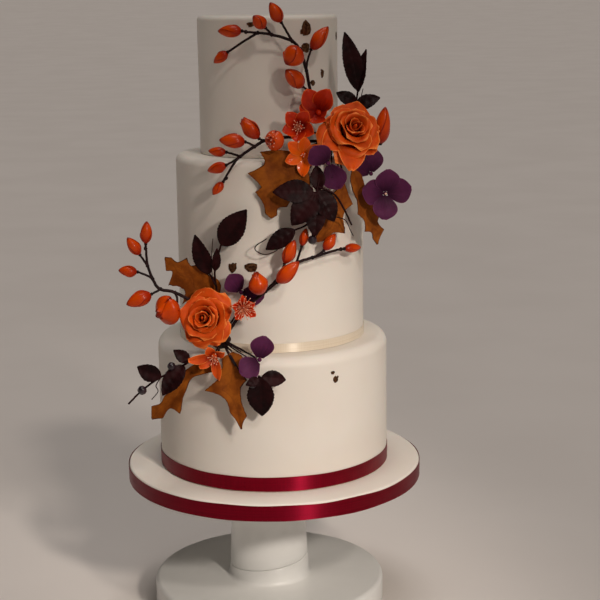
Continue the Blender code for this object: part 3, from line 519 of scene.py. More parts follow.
def plum_look():
    look = Look("plum_leaf", "leaf_plum", Specular_IOR_Level=0.10)
    place = look.place()
    cloud = look.noise(place, 70.0, 3.0)
    tone = look.tone()
    side = look.sum(look.part_of(tone, "Z"), 0.0, "ABSOLUTE")
    slant = look.sum(look.part_of(tone, "Y"), look.sum(side, 0.16, "MULTIPLY"), "SUBTRACT")
    ribs = look.span(look.sum(look.sum(slant, 44.0, "MULTIPLY"), 0.0, "COSINE"), 0.90, 1.0)
    vein = look.sum(ribs, look.span(side, 0.12, 0.0), "MAXIMUM")
    body = look.mix(look.span(cloud, 0.3, 0.7), (0.007, 0.0014, 0.0016), (0.022, 0.0028, 0.0035))
    body = look.mix(look.sum(vein, 0.10, "MULTIPLY"), body, (0.055, 0.009, 0.012))
    look.colour(look.mix(look.sum(look.part_of(tone, "X"), 0.6, "MULTIPLY"), body, (0.006, 0.0015, 0.002)))
    look.roughness(look.span(cloud, 0.3, 0.7, 0.42, 0.58))
    look.bump(((vein, 0.25, 0.35), (look.noise(place, 350.0, 3.0), 0.25, 0.25)))
    return look


def tape_look():
    look = Look("floral_tape", "twig_brown", Specular_IOR_Level=0.15)
    place = look.place()
    cloud = look.noise(place, 160.0, 3.0)
    look.colour(look.mix(look.span(cloud, 0.3, 0.7), (0.008, 0.003, 0.004), (0.028, 0.010, 0.010)))
    look.roughness(look.span(cloud, 0.3, 0.7, 0.50, 0.68))
    wound = look.noise(look.tone((0, 0.9, 2.0)), 1.0, 1.0)
    look.bump(((wound, 0.4, 0.4), (look.noise(place, 700.0), 0.3, 0.15)))
    return look


def berry_look():
    look = Look("berry", "leaf_plum", Coat_Weight=0.4, Coat_Roughness=0.25)
    cloud = look.noise(look.place(), 240.0, 3.0)
    look.colour(look.mix(look.span(cloud, 0.35, 0.7), (0.008, 0.003, 0.006), (0.026, 0.008, 0.016)))
    look.roughness(look.span(cloud, 0.3, 0.7, 0.30, 0.45))
    look.bump(((cloud, 0.2, 0.3),))
    return look


def gold_look():
    look = Look("gold_leaf", None, Metallic=1.0)
    cloud = look.noise(look.place(), 420.0, 4.0, 0.65)
    look.colour(look.mix(look.span(cloud, 0.35, 0.65), (0.055, 0.022, 0.012), (0.20, 0.095, 0.045)))
    look.roughness(look.span(cloud, 0.3, 0.7, 0.30, 0.50))
    look.bump(((cloud, 0.6, 0.4),))
    return look


def stamen_look():
    look = Look("stamen", None, Roughness=0.4)
    head = look.span(look.part_of(look.tone(), "Y"), 0.3, 0.8)
    look.colour(look.mix(head, (0.80, 0.22, 0.08), (0.88, 0.55, 0.40)))
    look.bump(((look.noise(look.place(), 900.0), 0.3, 0.1),))
    return look


def stand_look():
    look = Look("stand_plastic", "stand_white", Coat_Weight=0.15, Coat_Roughness=0.2)
    place = look.place()
    cloud = look.noise(place, 14.0, 3.0)
    look.colour(look.mix(look.span(cloud, 0.3, 0.7), (0.79, 0.79, 0.765), (0.85, 0.85, 0.825)))
    look.roughness(look.span(look.noise(place, 40.0), 0.3, 0.7, 0.28, 0.38))
    look.bump(((look.noise(place, 240.0, 3.0), 0.08, 0.3), (cloud, 0.1, 1.0)))
    return look


LOOKS = {
    "icing": icing_look(),
    "burgundy": satin_look(
        "satin_burgundy", "satin_burgundy", (0.140, 0.0005, 0.006), (0.060, 0.0002, 0.002),
        (1.0, 0.03, 0.11, 1.0),
    ),
    "cream": satin_look(
        "satin_cream", "satin_cream", (0.84, 0.74, 0.60), (0.74, 0.63, 0.48), (1.0, 0.95, 0.85, 1.0),
    ),
    "rose": petal_look(
        "rose_petal", "rose_orange", (0.24, 0.008, 0.001), (0.67, 0.080, 0.004), (0.94, 0.25, 0.050), 0.55,
        Specular_IOR_Level=0.15,
    ),
    "bud": petal_look(
        "bud_petal", "bud_orange", (0.38, 0.018, 0.001), (0.64, 0.062, 0.001), (0.20, 0.006, 0.001), 0.36,
        Specular_IOR_Level=0.14, Coat_Weight=0.14, Coat_Roughness=0.14,
    ),
    "flower": petal_look(
        "flower_petal", "flower_red", (0.20, 0.003, 0.001), (0.60, 0.028, 0.001), (0.86, 0.13, 0.02), 0.38,
        Specular_IOR_Level=0.12, Coat_Weight=0.18, Coat_Roughness=0.12,
    ),
    "star": petal_look(
        "star_petal", "rose_orange", (0.66, 0.11, 0.004), (0.78, 0.086, 0.002), (0.90, 0.20, 0.03), 0.38,
        Specular_IOR_Level=0.12, Coat_Weight=0.18, Coat_Roughness=0.12,
    ),
    "violet": petal_look(
        "floret_petal", "petal_violet", (0.034, 0.004, 0.022), (0.090, 0.014, 0.058), (0.12, 0.026, 0.08),
        0.6, Specular_IOR_Level=0.12,
    ),
    "oak": oak_look(),
    "plum": plum_look(),
    "tape": tape_look(),
    "berry": berry_look(),
    "gold": gold_look(),
    "stamen": stamen_look(),
    "stand": stand_look(),
}


# Shapes

def unit(vector):
    return np.asarray(vector, float) / np.linalg.norm(vector)


def leaf_axes(along, facing):
    """Rows that turn a leaf's (right of its midrib, along, facing) into the cake's frame."""
    y = unit(along)
    z = unit(np.asarray(facing, float) - np.dot(facing, y) * y)
    return np.stack([np.cross(y, z), y, z])


def flower_axes(forward):
    """Rows that turn a flower's (right, up, forward) into the cake's frame."""
    forward = unit(forward)
    right = unit(np.cross((0, 0, 1), forward))
    return np.stack([right, np.cross(forward, right), forward])


def about_z(points, angle):
    c, s = math.cos(angle), math.sin(angle)
    return points @ np.array([[c, s, 0], [-s, c, 0], [0, 0, 1]])


def ease(value, low, high):
    """0 below low, 1 above high, and a smooth rise between."""
    t = np.clip((np.asarray(value, float) - low) / (high - low), 0, 1)
    return t * t * (3 - 2 * t)


def grid_faces(rows, columns, wrap=False):
    """Four-cornered faces between neighbours of a grid, whose columns may close on themselves."""
    i, j = np.meshgrid(np.arange(rows - 1), np.arange(columns if wrap else columns - 1), indexing="ij")
    k = (j + 1) % columns
    near, far = i * columns, (i + 1) * columns
    return np.stack([near + j, near + k, far + k, far + j], -1).reshape(-1, 4)


def fan(start, count, middle):
    """Triangles from a ring of so many points to the point in its middle."""
    edge = np.arange(count)
    return np.stack([start + edge, start + (edge + 1) % count, np.full(count, middle)], 1)


class Skin:
    """Points, faces and surface values of one piece, gathered from several closed shapes."""

    def __init__(self):
        self.points, self.tones, self.veins, self.faces = [], [], [], []
        self.count = 0

    def add(self, points, faces, tone=(0, 0, 0), vein=0.0):
        points = np.asarray(points, float).reshape(-1, 3)
        self.points.append(points)
        self.tones.append(np.broadcast_to(tone, points.shape))
        self.veins.append(np.broadcast_to(vein, len(points)))
        for block in faces:
            self.faces += (np.asarray(block) + self.count).tolist()
        self.count += len(points)
        return self

    def make(self, name, look, *nodes):
        mesh = bpy.data.meshes.new(name)
        mesh.from_pydata((np.concatenate(self.points) * MM).tolist(), [], self.faces)
        tone = mesh.attributes.new("tone", "FLOAT_VECTOR", "POINT")
        tone.data.foreach_set("vector", np.concatenate(self.tones).astype(np.float32).ravel())
        vein = mesh.attributes.new("vein", "FLOAT", "POINT")
        vein.data.foreach_set("value", np.concatenate(self.veins).astype(np.float32))
        body = bmesh.new()
        body.from_mesh(mesh)
        bmesh.ops.recalc_face_normals(body, faces=body.faces)
        body.to_mesh(mesh)
        body.free()
        mesh.shade_smooth()
        mesh.set_sharp_from_angle(angle=math.radians(55))
        mesh.materials.append(LOOKS[look].material)
        made = bpy.data.objects.new(name, mesh)
        bpy.context.scene.collection.objects.link(made)
        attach(made, "root")
        if nodes:
            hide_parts(*nodes)
        return made


def lathe(profile, around=AROUND):
    """Points and faces of a solid of revolution, from a profile of (radius, height) from axis to axis."""
    profile = np.asarray(profile, float)
    rings = profile[1:-1]
    turn = np.linspace(0, math.tau, around, endpoint=False)
    points = np.stack([np.outer(rings[:, 0], np.cos(turn)), np.outer(rings[:, 0], np.sin(turn)),
                       np.repeat(rings[:, 1:], around, 1)], -1).reshape(-1, 3)
    points = np.concatenate([points, [(0, 0, profile[0, 1]), (0, 0, profile[-1, 1])]])
    low, high = len(points) - 2, len(points) - 1
    top = (len(rings) - 1) * around
    return points, [grid_faces(len(rings), around, True), fan(0, around, low), fan(top, around, high)]


def arc(radius, top, bend, steps=8):
    """Points of a rounded edge from the side wall at this radius up to the flat at height top."""
    return [(radius - bend + bend * math.cos(a), top - bend + bend * math.sin(a))
            for a in np.linspace(0, math.pi / 2, steps + 1)]


def upright(radius, low, high, steps):
    return [(radius, z) for z in np.linspace(low, high, steps)]


def band(radius, low, high, thickness, edge_wave, face_wave, seed):
    """Points, faces and tone of a ribbon round a cylinder: its tone is (way round, height) in metres."""
    rng = random.Random(seed)
    around, rows = 360, 9
    turn = np.linspace(0, math.tau, around, endpoint=False)
    waves = [(rng.randint(3, 17), rng.uniform(0, math.tau), rng.uniform(0.4, 1.0)) for _ in range(7)]
    ripple = sum(a * np.sin(k * turn + p) for k, p, a in waves) / 3
    side = sum(a * np.sin((k + 2) * turn - p) for k, p, a in waves) / 3
    share = np.linspace(0, 1, rows)
    height = low + (high - low) * share[:, None] + edge_wave * ripple * (share[:, None] - 0.3)
    selvedge = 0.12 * (np.abs(share - 0.5) > 0.42)
    outer = radius + thickness + selvedge[:, None] + face_wave * (1 + side) * np.sin(math.pi * share)[:, None]
    loops = [(outer[i], height[i]) for i in range(rows)]
    loops += [(np.full(around, radius), height[-1]), (np.full(around, radius), height[0])]
    loops.append(loops[0])
    points = np.stack([np.stack([r * np.cos(turn), r * np.sin(turn), z], 1) for r, z in loops[:-1]])
    count = len(points)
    faces = grid_faces(count + 1, around, True) % (count * around)
    way = np.broadcast_to(turn * radius * MM, points.shape[:2])
    tone = np.stack([way, points[..., 2] * MM, 0 * way], -1)
    return points, [faces], tone.reshape(-1, 3)


def sheet(grid, thickness, tone, vein=0.0, edge=0.35):
    """A thin closed solid about a grid of points, thinner along its rim."""
    grid = np.asarray(grid, float)
    rows, columns = grid.shape[:2]
    normal = np.cross(np.gradient(grid, axis=1), np.gradient(grid, axis=0))
    normal /= np.maximum(np.linalg.norm(normal, axis=2, keepdims=True), 1e-9)
    half = np.full((rows, columns, 1), thickness / 2)
    half[0] = half[-1] = thickness / 2 * edge
    half[:, 0] = half[:, -1] = thickness / 2 * edge
    points = np.concatenate([(grid + normal * half).reshape(-1, 3), (grid - normal * half).reshape(-1, 3)])
    under = rows * columns
    front = grid_faces(rows, columns)
    rim = [j for j in range(columns)]
    rim += [i * columns + columns - 1 for i in range(1, rows)]
    rim += [(rows - 1) * columns + j for j in range(columns - 2, -1, -1)]
    rim += [i * columns for i in range(rows - 2, 0, -1)]
    a, b = np.array(rim), np.array(rim[1:] + rim[:1])
    faces = [front, front[:, ::-1] + under, np.stack([b, a, a + under, b + under], 1)]
    tone = np.broadcast_to(tone, (rows, columns, 3)).reshape(-1, 3)
    vein = np.broadcast_to(vein, (rows, columns)).reshape(-1)
    return points, faces, np.concatenate([tone, tone]), np.concatenate([vein, vein])


def smooth_path(path, steps=6):
    """A curve through the points of a path."""
    path = np.asarray(path, float)
    ends = np.concatenate([[2 * path[0] - path[1]], path, [2 * path[-1] - path[-2]]])
    found = []
    for a, b, c, d in zip(ends, ends[1:], ends[2:], ends[3:]):
        for t in np.arange(steps) / steps:
            square, cube = 2 * a - 5 * b + 4 * c - d, 3 * b - a - 3 * c + d
            found.append(0.5 * (2 * b + (c - a) * t + square * t**2 + cube * t**3))
    return np.array(found + [path[-1]])


def tube(path, radii, sides=8, wrap=0.0, seed=0):
    """A round stalk along a path, closed at both ends. Wrap makes the turns of wound tape show."""
    path = np.asarray(path, float)
    radii = np.interp(np.linspace(0, 1, len(path)), np.linspace(0, 1, len(radii)), radii)
    along = np.gradient(path, axis=0)
    along /= np.linalg.norm(along, axis=1, keepdims=True)
    across = np.cross(along[0], (0.3, 0.5, 0.8))
    length = np.concatenate([[0], np.cumsum(np.linalg.norm(np.diff(path, axis=0), axis=1))])
    rings, tones = [], []
    for i, (place, way) in enumerate(zip(path, along)):
        across = unit(across - np.dot(across, way) * way)
        other = np.cross(way, across)
        turn = np.arange(sides) / sides * math.tau
        r = radii[i] * (1 + wrap * np.sin(length[i] * 1.1 + turn + seed))
        rings.append(place + np.outer(r * np.cos(turn), across) + np.outer(r * np.sin(turn), other))
        tones.append(np.stack([np.zeros(sides), np.full(sides, length[i]), turn], 1))
    points = np.concatenate([np.concatenate(rings), [path[0], path[-1]]])
    caps = fan(0, sides, len(points) - 2), fan((len(path) - 1) * sides, sides, len(points) - 1)
    tones = np.concatenate([np.concatenate(tones), [tones[0][0], tones[-1][0]]])
    return points, [grid_faces(len(path), sides, True), *caps], tones


def bead(centre, radii, along=(0, 0, 1), around=16, rings=10, lump=0.0):
    """An ellipsoid whose third radius lies along the given direction."""
    angles = np.linspace(0, math.pi, rings + 1)
    profile = [(math.sin(a), -math.cos(a)) for a in angles]
    points, faces = lathe(profile, around)
    points = points * (1 + lump * np.sin(points[:, :1] * 5 + points[:, 1:2] * 4) * np.cos(points[:, 2:] * 5))
    turn = np.array(Vector(along).to_track_quat("Z", "Y").to_matrix())
    height = points[:, 2:] * 0.5 + 0.5
    return (points * radii) @ turn.T + centre, faces, np.concatenate([0 * height, height, 0 * height], 1)


# Stand

def slanted(points, low, high):
    """Shears points along the neck's slanted joint: not at all at height low, and fully at high."""
    share = ease(points[:, 2], min(low, high), max(low, high))
    if low > high:
        share = 1 - share
    points[:, 2] += points[:, 0] * math.tan(NECK_JOINT_SLANT) * share
    return points


def build_stand():
    taper = (NECK_FOOT_RADIUS - NECK_TOP_RADIUS) / (PLATE_UNDERSIDE - FOOT_HEIGHT)
    joint_radius = NECK_FOOT_RADIUS - taper * (NECK_JOINT_HEIGHT - FOOT_HEIGHT)
    foot = [(0, 0), (FOOT_RADIUS - 40, 0), (FOOT_RADIUS - 1, 0), (FOOT_RADIUS, 1), (FOOT_RADIUS, 12)]
    foot += arc(FOOT_RADIUS, FOOT_HEIGHT, FOOT_FILLET)
    foot += [(FOOT_RADIUS - 25, FOOT_HEIGHT), (90, FOOT_HEIGHT), (NECK_FOOT_RADIUS + 6, FOOT_HEIGHT)]
    foot += [(NECK_FOOT_RADIUS + 4 - 4 * math.sin(a), FOOT_HEIGHT + 4 - 4 * math.cos(a))
             for a in np.linspace(0, math.pi / 2, 6)]
    foot += [(joint_radius + 0.1, NECK_JOINT_HEIGHT - 1.2), (joint_radius - 0.7, NECK_JOINT_HEIGHT - 0.2)]
    foot += [(joint_radius - 2, NECK_JOINT_HEIGHT), (0, NECK_JOINT_HEIGHT)]
    neck_low = NECK_JOINT_HEIGHT + GAP
    top = PLATE_UNDERSIDE - GAP
    neck = [(0, neck_low), (joint_radius - 2, neck_low), (joint_radius - 0.7, neck_low + 0.2)]
    heights = np.linspace(neck_low + 1.2, top - 12, 14)
    neck += [(NECK_FOOT_RADIUS - taper * (z - FOOT_HEIGHT), z) for z in heights]
    neck += [(NECK_TOP_RADIUS + 6 * t**2 + 0.3, top - 10 + 10 * t) for t in np.linspace(0, 1, 6)] + [(0, top)]
    rim = PLATE_UNDERSIDE + PLATE_THICKNESS
    plate = [(0, PLATE_UNDERSIDE), (PLATE_RADIUS - 10, PLATE_UNDERSIDE)]
    plate += [(PLATE_RADIUS - 10 * math.cos(a) ** 1.5, PLATE_UNDERSIDE + 3 * math.sin(a))
              for a in np.linspace(0.2, 1.5, 6)]
    plate += [(PLATE_RADIUS, rim - 1.5)] + arc(PLATE_RADIUS, rim, 1.0, 4) + [(0, rim)]
    for name, profile, low, high in (
        ("stand_foot", foot, FOOT_HEIGHT + 4, NECK_JOINT_HEIGHT - 1),
        ("stand_neck", neck, top - 20, neck_low + 1.3),
        ("stand_plate", plate, 0, 0),
    ):
        points, faces = lathe(profile)
        if low != high:
            points = slanted(points, low, high)
        points[:, 0] += STAND_ACROSS
        Skin().add(points, faces).make(name + "_shell", "stand", name)


# Cake

def hand_made(points, seed, depth):
    """Moves the points of a round wall in and out a little, as icing smoothed by hand lies."""
    rng = random.Random(seed)
    turn = np.arctan2(points[:, 1], points[:, 0])
    radius = np.hypot(points[:, 0], points[:, 1])
    shift = np.zeros(len(points))
    for _ in range(9):
        k, wave, phase = rng.randint(1, 9), rng.uniform(0.01, 0.05), rng.uniform(0, math.tau)
        shift += np.sin(k * turn + phase) * np.cos(wave * points[:, 2] + phase * 2)
    scale = 1 + shift * depth / 6 / np.maximum(radius, 30)
    points[:, :2] *= scale[:, None]
    return points


def build_tiers():
    bottom = DRUM_UNDERSIDE + GAP
    drum = [(0, bottom), (DRUM_RADIUS - 0.5, bottom), (DRUM_RADIUS, bottom + 0.5), (DRUM_RADIUS, bottom + 8)]
    drum += arc(DRUM_RADIUS, DRUM_TOP, DRUM_FILLET) + [(r, DRUM_TOP) for r in (155, 140, 120, 60, 0)]
    points, faces = lathe(drum)
    Skin().add(hand_made(points, 5, 0.4), faces).make("drum_icing", "icing", "cake_drum")
    for i, node in enumerate(("tier_bottom", "tier_middle", "tier_top")):
        radius, base, top = TIER_RADII[i], TIER_BASES[i] + GAP, TIER_BASES[i] + TIER_HEIGHTS[i]
        profile = [(0, base), (radius * 0.6, base), (radius - 0.8, base), (radius, base + 0.8)]
        profile += upright(radius, base + 4, top - TIER_FILLETS[i] - 2, 34)
        profile += arc(radius, top, TIER_FILLETS[i], 10)
        inner = radius - TIER_FILLETS[i]
        profile += [(inner * s, top) for s in (0.95, 0.85, 0.7, 0.5, 0.25)] + [(0, top)]
        points, faces = lathe(profile)
        Skin().add(hand_made(points, 11 + i, 0.6), faces).make(node + "_icing", "icing", node)


def build_ribbons():
    for name, node, radius, low, width, wave, look, seed in (
        ("drum_ribbon", "ribbon_drum", DRUM_RADIUS, DRUM_UNDERSIDE + GAP, DRUM_RIBBON, 0.9, "burgundy", 2),
        (
            "bottom_ribbon", "ribbon_bottom", TIER_RADII[0], TIER_BASES[0] + RIBBON_LIFT, WIDE_RIBBON,
            0.4, "burgundy", 3,
        ),
        (
            "middle_ribbon", "ribbon_middle", TIER_RADII[1], TIER_BASES[1] + GAP, NARROW_RIBBON,
            0.3, "cream", 4,
        ),
    ):
        inside, top = radius + RIBBON_OFF_WALL, low + width - 0.2
        points, faces, tone = band(inside, low + 0.1, top, RIBBON_THICKNESS, wave, 0.12, seed)
        Skin().add(points, faces, tone).make(name, look, node)


def build_gold():
    """Crumpled flakes of gold leaf, each pressed on its tier as a few ragged shards."""
    skin = Skin()
    for index, (tier, angle, height, width, tall) in enumerate(GOLD_FLAKES):
        rng = random.Random(index + 40)
        for shard in range(3):
            size = (1.0, 0.35, 0.2)[shard]
            side = 0 if shard == 0 else rng.choice((-1, 1))
            across = side * width * rng.uniform(0.2, 0.5)
            up = 0 if shard == 0 else tall * rng.uniform(-0.5, 0.5)
            count = 9
            rings = []
            for ring, share in enumerate((1.0, 0.55)):
                turn = [math.tau * k / count + rng.uniform(-0.25, 0.25) for k in range(count)]
                reach = [rng.uniform(0.78, 1.12) * share * size for _ in range(count)]
                lift = [(0.15, 0.35)[ring] + rng.uniform(0, 0.4) for _ in range(count)]
                rings.append([(math.cos(a) * width / 2 * r, math.sin(a) * tall / 2 * r, h)
                              for a, r, h in zip(turn, reach, lift)])
            top = rings[0] + rings[1] + [(0, 0, 0.5)]
            flat = [(x, y, -0.4) for x, y, _ in rings[0]]
            points = []
            for x, y, out in top + flat:
                r = TIER_RADII[tier] + out
                a = math.radians(angle) + (x + across) / r
                points.append((r * math.sin(a), -r * math.cos(a), TIER_BASES[tier] + height + y + up))
            edge = np.arange(count)
            after = (edge + 1) % count
            faces = [
                np.stack([edge, after, after + count, edge + count], 1),
                fan(count, count, 2 * count),
                np.stack([after, edge, edge + 2 * count + 1, after + 2 * count + 1], 1),
                [list(range(3 * count, 2 * count, -1))],
            ]
            skin.add(points, faces)
    skin.make("gold_leaf", "gold")


# Sprays

def build_stems():
    families = {"stems_upper": ("bud_upper", "bud_left"), "stems_lower": ("bud_right", "bud_outer")}
    for node, (centre, radii) in BINDINGS.items():
        skin = Skin()
        rng = random.Random(node)
        skin.add(*bead(centre, np.multiply(radii, 0.9), (0, 0, 1), 24, 18, 0.10))
        for family in families[node]:
            path = smooth_path(TWIGS[family])
            skin.add(*tube(path, (STEM_RADIUS, STEM_RADIUS, TWIG_RADIUS), 10, 0.10, rng.uniform(0, 6)))
            for name, (base, tip, _, leaves_at) in BUDS.items():
                if not name.startswith(family):
                    continue
                start, end = np.asarray(leaves_at, float), np.asarray(base, float)
                if np.linalg.norm(end - start) < 4:
                    start = end - unit(np.subtract(tip, base)) * 5
                bend = (start + end) / 2 + unit(np.subtract(tip, base)) * -0.12 * np.linalg.norm(end - start)
                into = end + unit(np.subtract(tip, base)) * 1.2
                path = smooth_path((start, bend, end, into), 5)
                girth = (TWIG_RADIUS * 1.15, TWIG_RADIUS, WIRE_RADIUS)
                skin.add(*tube(path, girth, 8, 0.10, rng.uniform(0, 6)))
                skin.add(*bead(start, (2.0, 2.0, 2.2), (0, 0, 1), 10, 6, 0.12))
                skin.add(*bead(end, (1.9, 1.9, 1.5), tuple(unit(np.subtract(tip, base))), 10, 6, 0.08))
        for place, short in WIRES[node]:
            start, end = np.asarray(centre, float), np.asarray(place, float)
            end = end - unit(end - start) * short
            bend = (start + end) / 2 + np.array([rng.uniform(-2, 2), 1.0, rng.uniform(-2, 2)])
            skin.add(*tube(smooth_path((start, bend, end), 6), (1.3, 0.9), 8, 0.12, rng.uniform(0, 6)))
        for place in LOOSE_WIRES[node]:
            start, end = np.asarray(centre, float), np.asarray(place, float)
            bend = (start + end) / 2 + (0, -6, rng.uniform(-1, 4))
            skin.add(*tube(smooth_path((start, bend, end), 6), (0.9, 0.7), 6, 0.12, rng.uniform(0, 6)))
        skin.make(node + "_taped", "tape", node)


def bud(skin, base, tip, width, seed, wraps=3):
    """A closed bud of petals wrapped round each other, each with an edge that stands a little proud."""
    rng = random.Random(seed)
    along = np.subtract(tip, base).astype(float)
    length = np.linalg.norm(along)
    axes = leaf_axes(along, (0.3, -1.0, 0.2))
    rows, steps = 30, 14
    spin, phase = rng.uniform(1.0, 1.7) * rng.choice((-1, 1)), rng.uniform(0, math.tau)
    grid, tone = [], []
    for t in np.linspace(0, 1, rows):
        swell = max(0.04, math.sin(math.pi * (0.03 + 0.96 * t) ** 0.8) ** 0.72)
        line, values = [], []
        for petal in range(wraps):
            for q in np.linspace(0, 1, steps):
                a = math.tau * (petal + q) / wraps + spin * t + phase
                step = 0.10 * math.sin(math.pi * min(1.0, t * 1.1)) ** 0.5
                r = width / 2 * swell * (1 - step * (1 - q) + 0.04 * q**8)
                line.append((r * math.cos(a), t * length, r * math.sin(a)))
                rim = max(ease(q, 0.86, 1.0) * ease(t, 0.1, 0.3), ease(t, 0.80, 1.0))
                values.append((rim, min(1.0, t * 1.4), petal * 3 + q))
        grid.append(line)
        tone.append(values)
    grid, tone = np.array(grid), np.array(tone)
    columns = grid.shape[1]
    points = np.concatenate([grid.reshape(-1, 3), [(0, 0, 0), (0, length, 0)]])
    tone = np.concatenate([tone.reshape(-1, 3), [(0, 0, 0), (1, 1, 0)]])
    caps = fan(0, columns, len(points) - 2), fan((rows - 1) * columns, columns, len(points) - 1)
    faces = [grid_faces(rows, columns, True), *caps]
    skin.add(points @ axes + np.asarray(base, float), faces, tone)


def cup_petal(length, radius, half_angle, close, ruffle, rng, rows=16, columns=13):
    """Grid and tone of a cupped petal about +Z, which swells to the radius and closes to a share of it."""
    phase, grid, tone = rng.uniform(0, 6), [], []
    for t in np.linspace(0, 1, rows):
        swell = math.sin(math.pi / 2 * min(1.0, t / 0.5)) ** 0.7
        r = radius * (0.12 + 0.88 * swell) * (1 - (1 - close) * ease(t, 0.5, 1.0))
        narrowing = math.sqrt(max(0.05, 1 - ease(t, 0.55, 1.08) ** 2))
        wide = half_angle * (0.5 + 0.5 * ease(t, 0.0, 0.5)) * narrowing
        line, values = [], []
        for u in np.linspace(-1, 1, columns):
            a = u * wide
            out = r + ruffle * math.sin(3.2 * u + phase) * t**2
            line.append((out * math.cos(a), out * math.sin(a), t * length - 0.06 * length * u * u * t))
            values.append((max(ease(t, 0.88, 1.0), ease(abs(u), 0.80, 1.0)), t, u * 0.5))
        grid.append(line)
        tone.append(values)
    return np.array(grid), np.array(tone)


def opening_bud(skin, base, tip, width, seed, close, count):
    """A bud whose petals have begun to part."""
    rng = random.Random(seed)
    length = np.linalg.norm(np.subtract(tip, base))
    turn = flower_axes(np.subtract(tip, base))
    for k in range(count):
        outer = 1.0 - 0.22 * (k % 2)
        reach = length * rng.uniform(0.92, 1.0)
        grid, tone = cup_petal(reach, width / 2 * outer, math.radians(70), close, 0.5, rng)
        grid = about_z(grid, math.tau * k / count + rng.uniform(-0.2, 0.2))
        tone = tone + (0, 0, 3 * k)
        skin.add(*sheet(np.asarray(base, float) + grid @ turn, PETAL_THICKNESS, tone))


def stamens(base, forward, count, length, spread, seed):
    """Fine filaments with small heads that fan out of the middle of a flower."""
    rng = random.Random(seed)
    skin = Skin()
    turn = flower_axes(forward)
    for k in range(count):
        a, out = k * GOLDEN_ANGLE, spread * math.sqrt((k + 0.5) / count)
        reach = length * rng.uniform(0.8, 1.05)
        tip = np.array([math.sin(out) * math.cos(a), math.sin(out) * math.sin(a), math.cos(out)]) * reach
        bend = tip * 0.5 * (0.8, 0.8, 1.15)
        path = smooth_path(np.asarray(base, float) + np.stack([(0, 0, 0), bend, tip]) @ turn, 4)
        points, faces, tone = tube(path, (0.32, 0.26), 5)
        skin.add(points, faces, tone * (0, 0, 0) + (0, 0.45, 0))
        skin.add(*bead(path[-1], (0.55, 0.55, 0.85), tuple(unit(path[-1] - path[-2])), 8, 6))
    return skin


def build_buds():
    for index, (node, (base, tip, width, _)) in enumerate(BUDS.items()):
        skin = Skin()
        foot = np.asarray(base, float) + unit(np.subtract(tip, base)) * BUD_CLEARANCE
        if node in PARTING_BUDS:
            opening_bud(skin, foot, tip, width, index, PARTING_BUDS[node], 5)
            bud(skin, foot, tip, width * 0.72, index)
        else:
            bud(skin, foot, tip, width, index)
        skin.make(node + "_petals", "bud", node)
    base, tip = BUDS["bud_left_6"][:2]
    stamens(base, np.subtract(tip, base), 12, 21.0, 0.42, 6).make("bud_stamens", "stamen")


def rose_petal(radius, depth, s, rng, rows=18, columns=17):
    """Grid and tone of one petal of a rose that faces +Z, from the heart at s = 0 to the outside at s = 1."""
    foot = radius * (0.05 + 0.17 * s)
    belly = radius * (0.13 + 0.62 * s)
    rim = radius * (0.10 + 0.78 * s**0.9)
    top = depth * (1.0 - 0.42 * s**1.5) * rng.uniform(0.94, 1.04)
    half = math.radians(128 - 66 * s)
    curl = radius * (0.03 + 0.13 * s) * rng.uniform(0.8, 1.3)
    phase, grid, tone = rng.uniform(0, 6), [], []
    for t in np.linspace(0, 1, rows):
        swell = math.sin(math.pi / 2 * min(1.0, t / 0.6))
        open_out = ease(t, 0.6, 1.0)
        wide = half * (0.5 + 0.5 * ease(t, 0.0, 0.55)) * math.sqrt(max(0.10, 1 - ease(t, 0.66, 1.04) ** 2.4))
        line, values = [], []
        for u in np.linspace(-1, 1, columns):
            roll = ease(t, 0.62, 1.0) ** 1.6 * (1 + 0.7 * u * u)
            wave = radius * 0.042 * (0.4 + s) * math.sin(3.4 * u + phase) * t**3
            r = foot + (belly - foot) * swell + (rim - belly) * open_out + curl * roll + wave
            z = top * (0.06 + 0.94 * t**1.12) - curl * roll - depth * 0.08 * t * u * u + wave
            z += depth * 0.05 * s * (1 - abs(u)) ** 2 * ease(t, 0.8, 1.0)
            a = u * wide
            line.append((r * math.cos(a), r * math.sin(a), z))
            near_rim = max(ease(t, 0.90, 1.0), ease(abs(u), 0.88, 1.0))
            # Inner petals keep the deep heart colour further up than outer ones: painted shade in the middle
            # of the rose.
            values.append((near_rim, t * (0.35 + 0.65 * s**0.5) + 0.12, u * 0.5))
        grid.append(line)
        tone.append(values)
    return np.array(grid), np.array(tone)


def build_roses():
    for node, (base, face, radius, depth, count, seed, spread) in ROSES.items():
        rng = random.Random(seed)
        base = np.asarray(base, float)
        forward = unit(np.subtract(face, base))
        turn = flower_axes(forward)
        skin = Skin()
        for k in range(count):
            grid, tone = rose_petal(radius, depth, k / (count - 1), rng)
            grid = about_z(grid, k * GOLDEN_ANGLE + rng.uniform(-0.12, 0.12))
            skin.add(*sheet(base + grid @ turn, PETAL_THICKNESS, tone + (0, 0, 3 * k)))
        for k, (direction, share) in enumerate(spread):
            size = (radius * share, radius * 0.95)
            grid, tone = flower_petal(*size, (40, -4), 18, 17, 0.12, 1.1, 1.0, 1.2, k * 2.1)
            grid = about_z(grid, math.radians(direction)) + (0, 0, radius * 0.10)
            skin.add(*sheet(base + grid @ turn, PETAL_THICKNESS, tone + (0, 0, 3 * (count + k))))
        back = (radius * 0.32, radius * 0.32, radius * 0.13)
        skin.add(*bead(base + forward * radius * 0.10, back, tuple(forward), 24, 12))
        core = (radius * 0.10, radius * 0.10, depth * 0.42)
        skin.add(*bead(base + forward * depth * 0.42, core, tuple(forward), 16, 12))
        skin.make(node + "_petals", "rose", node)


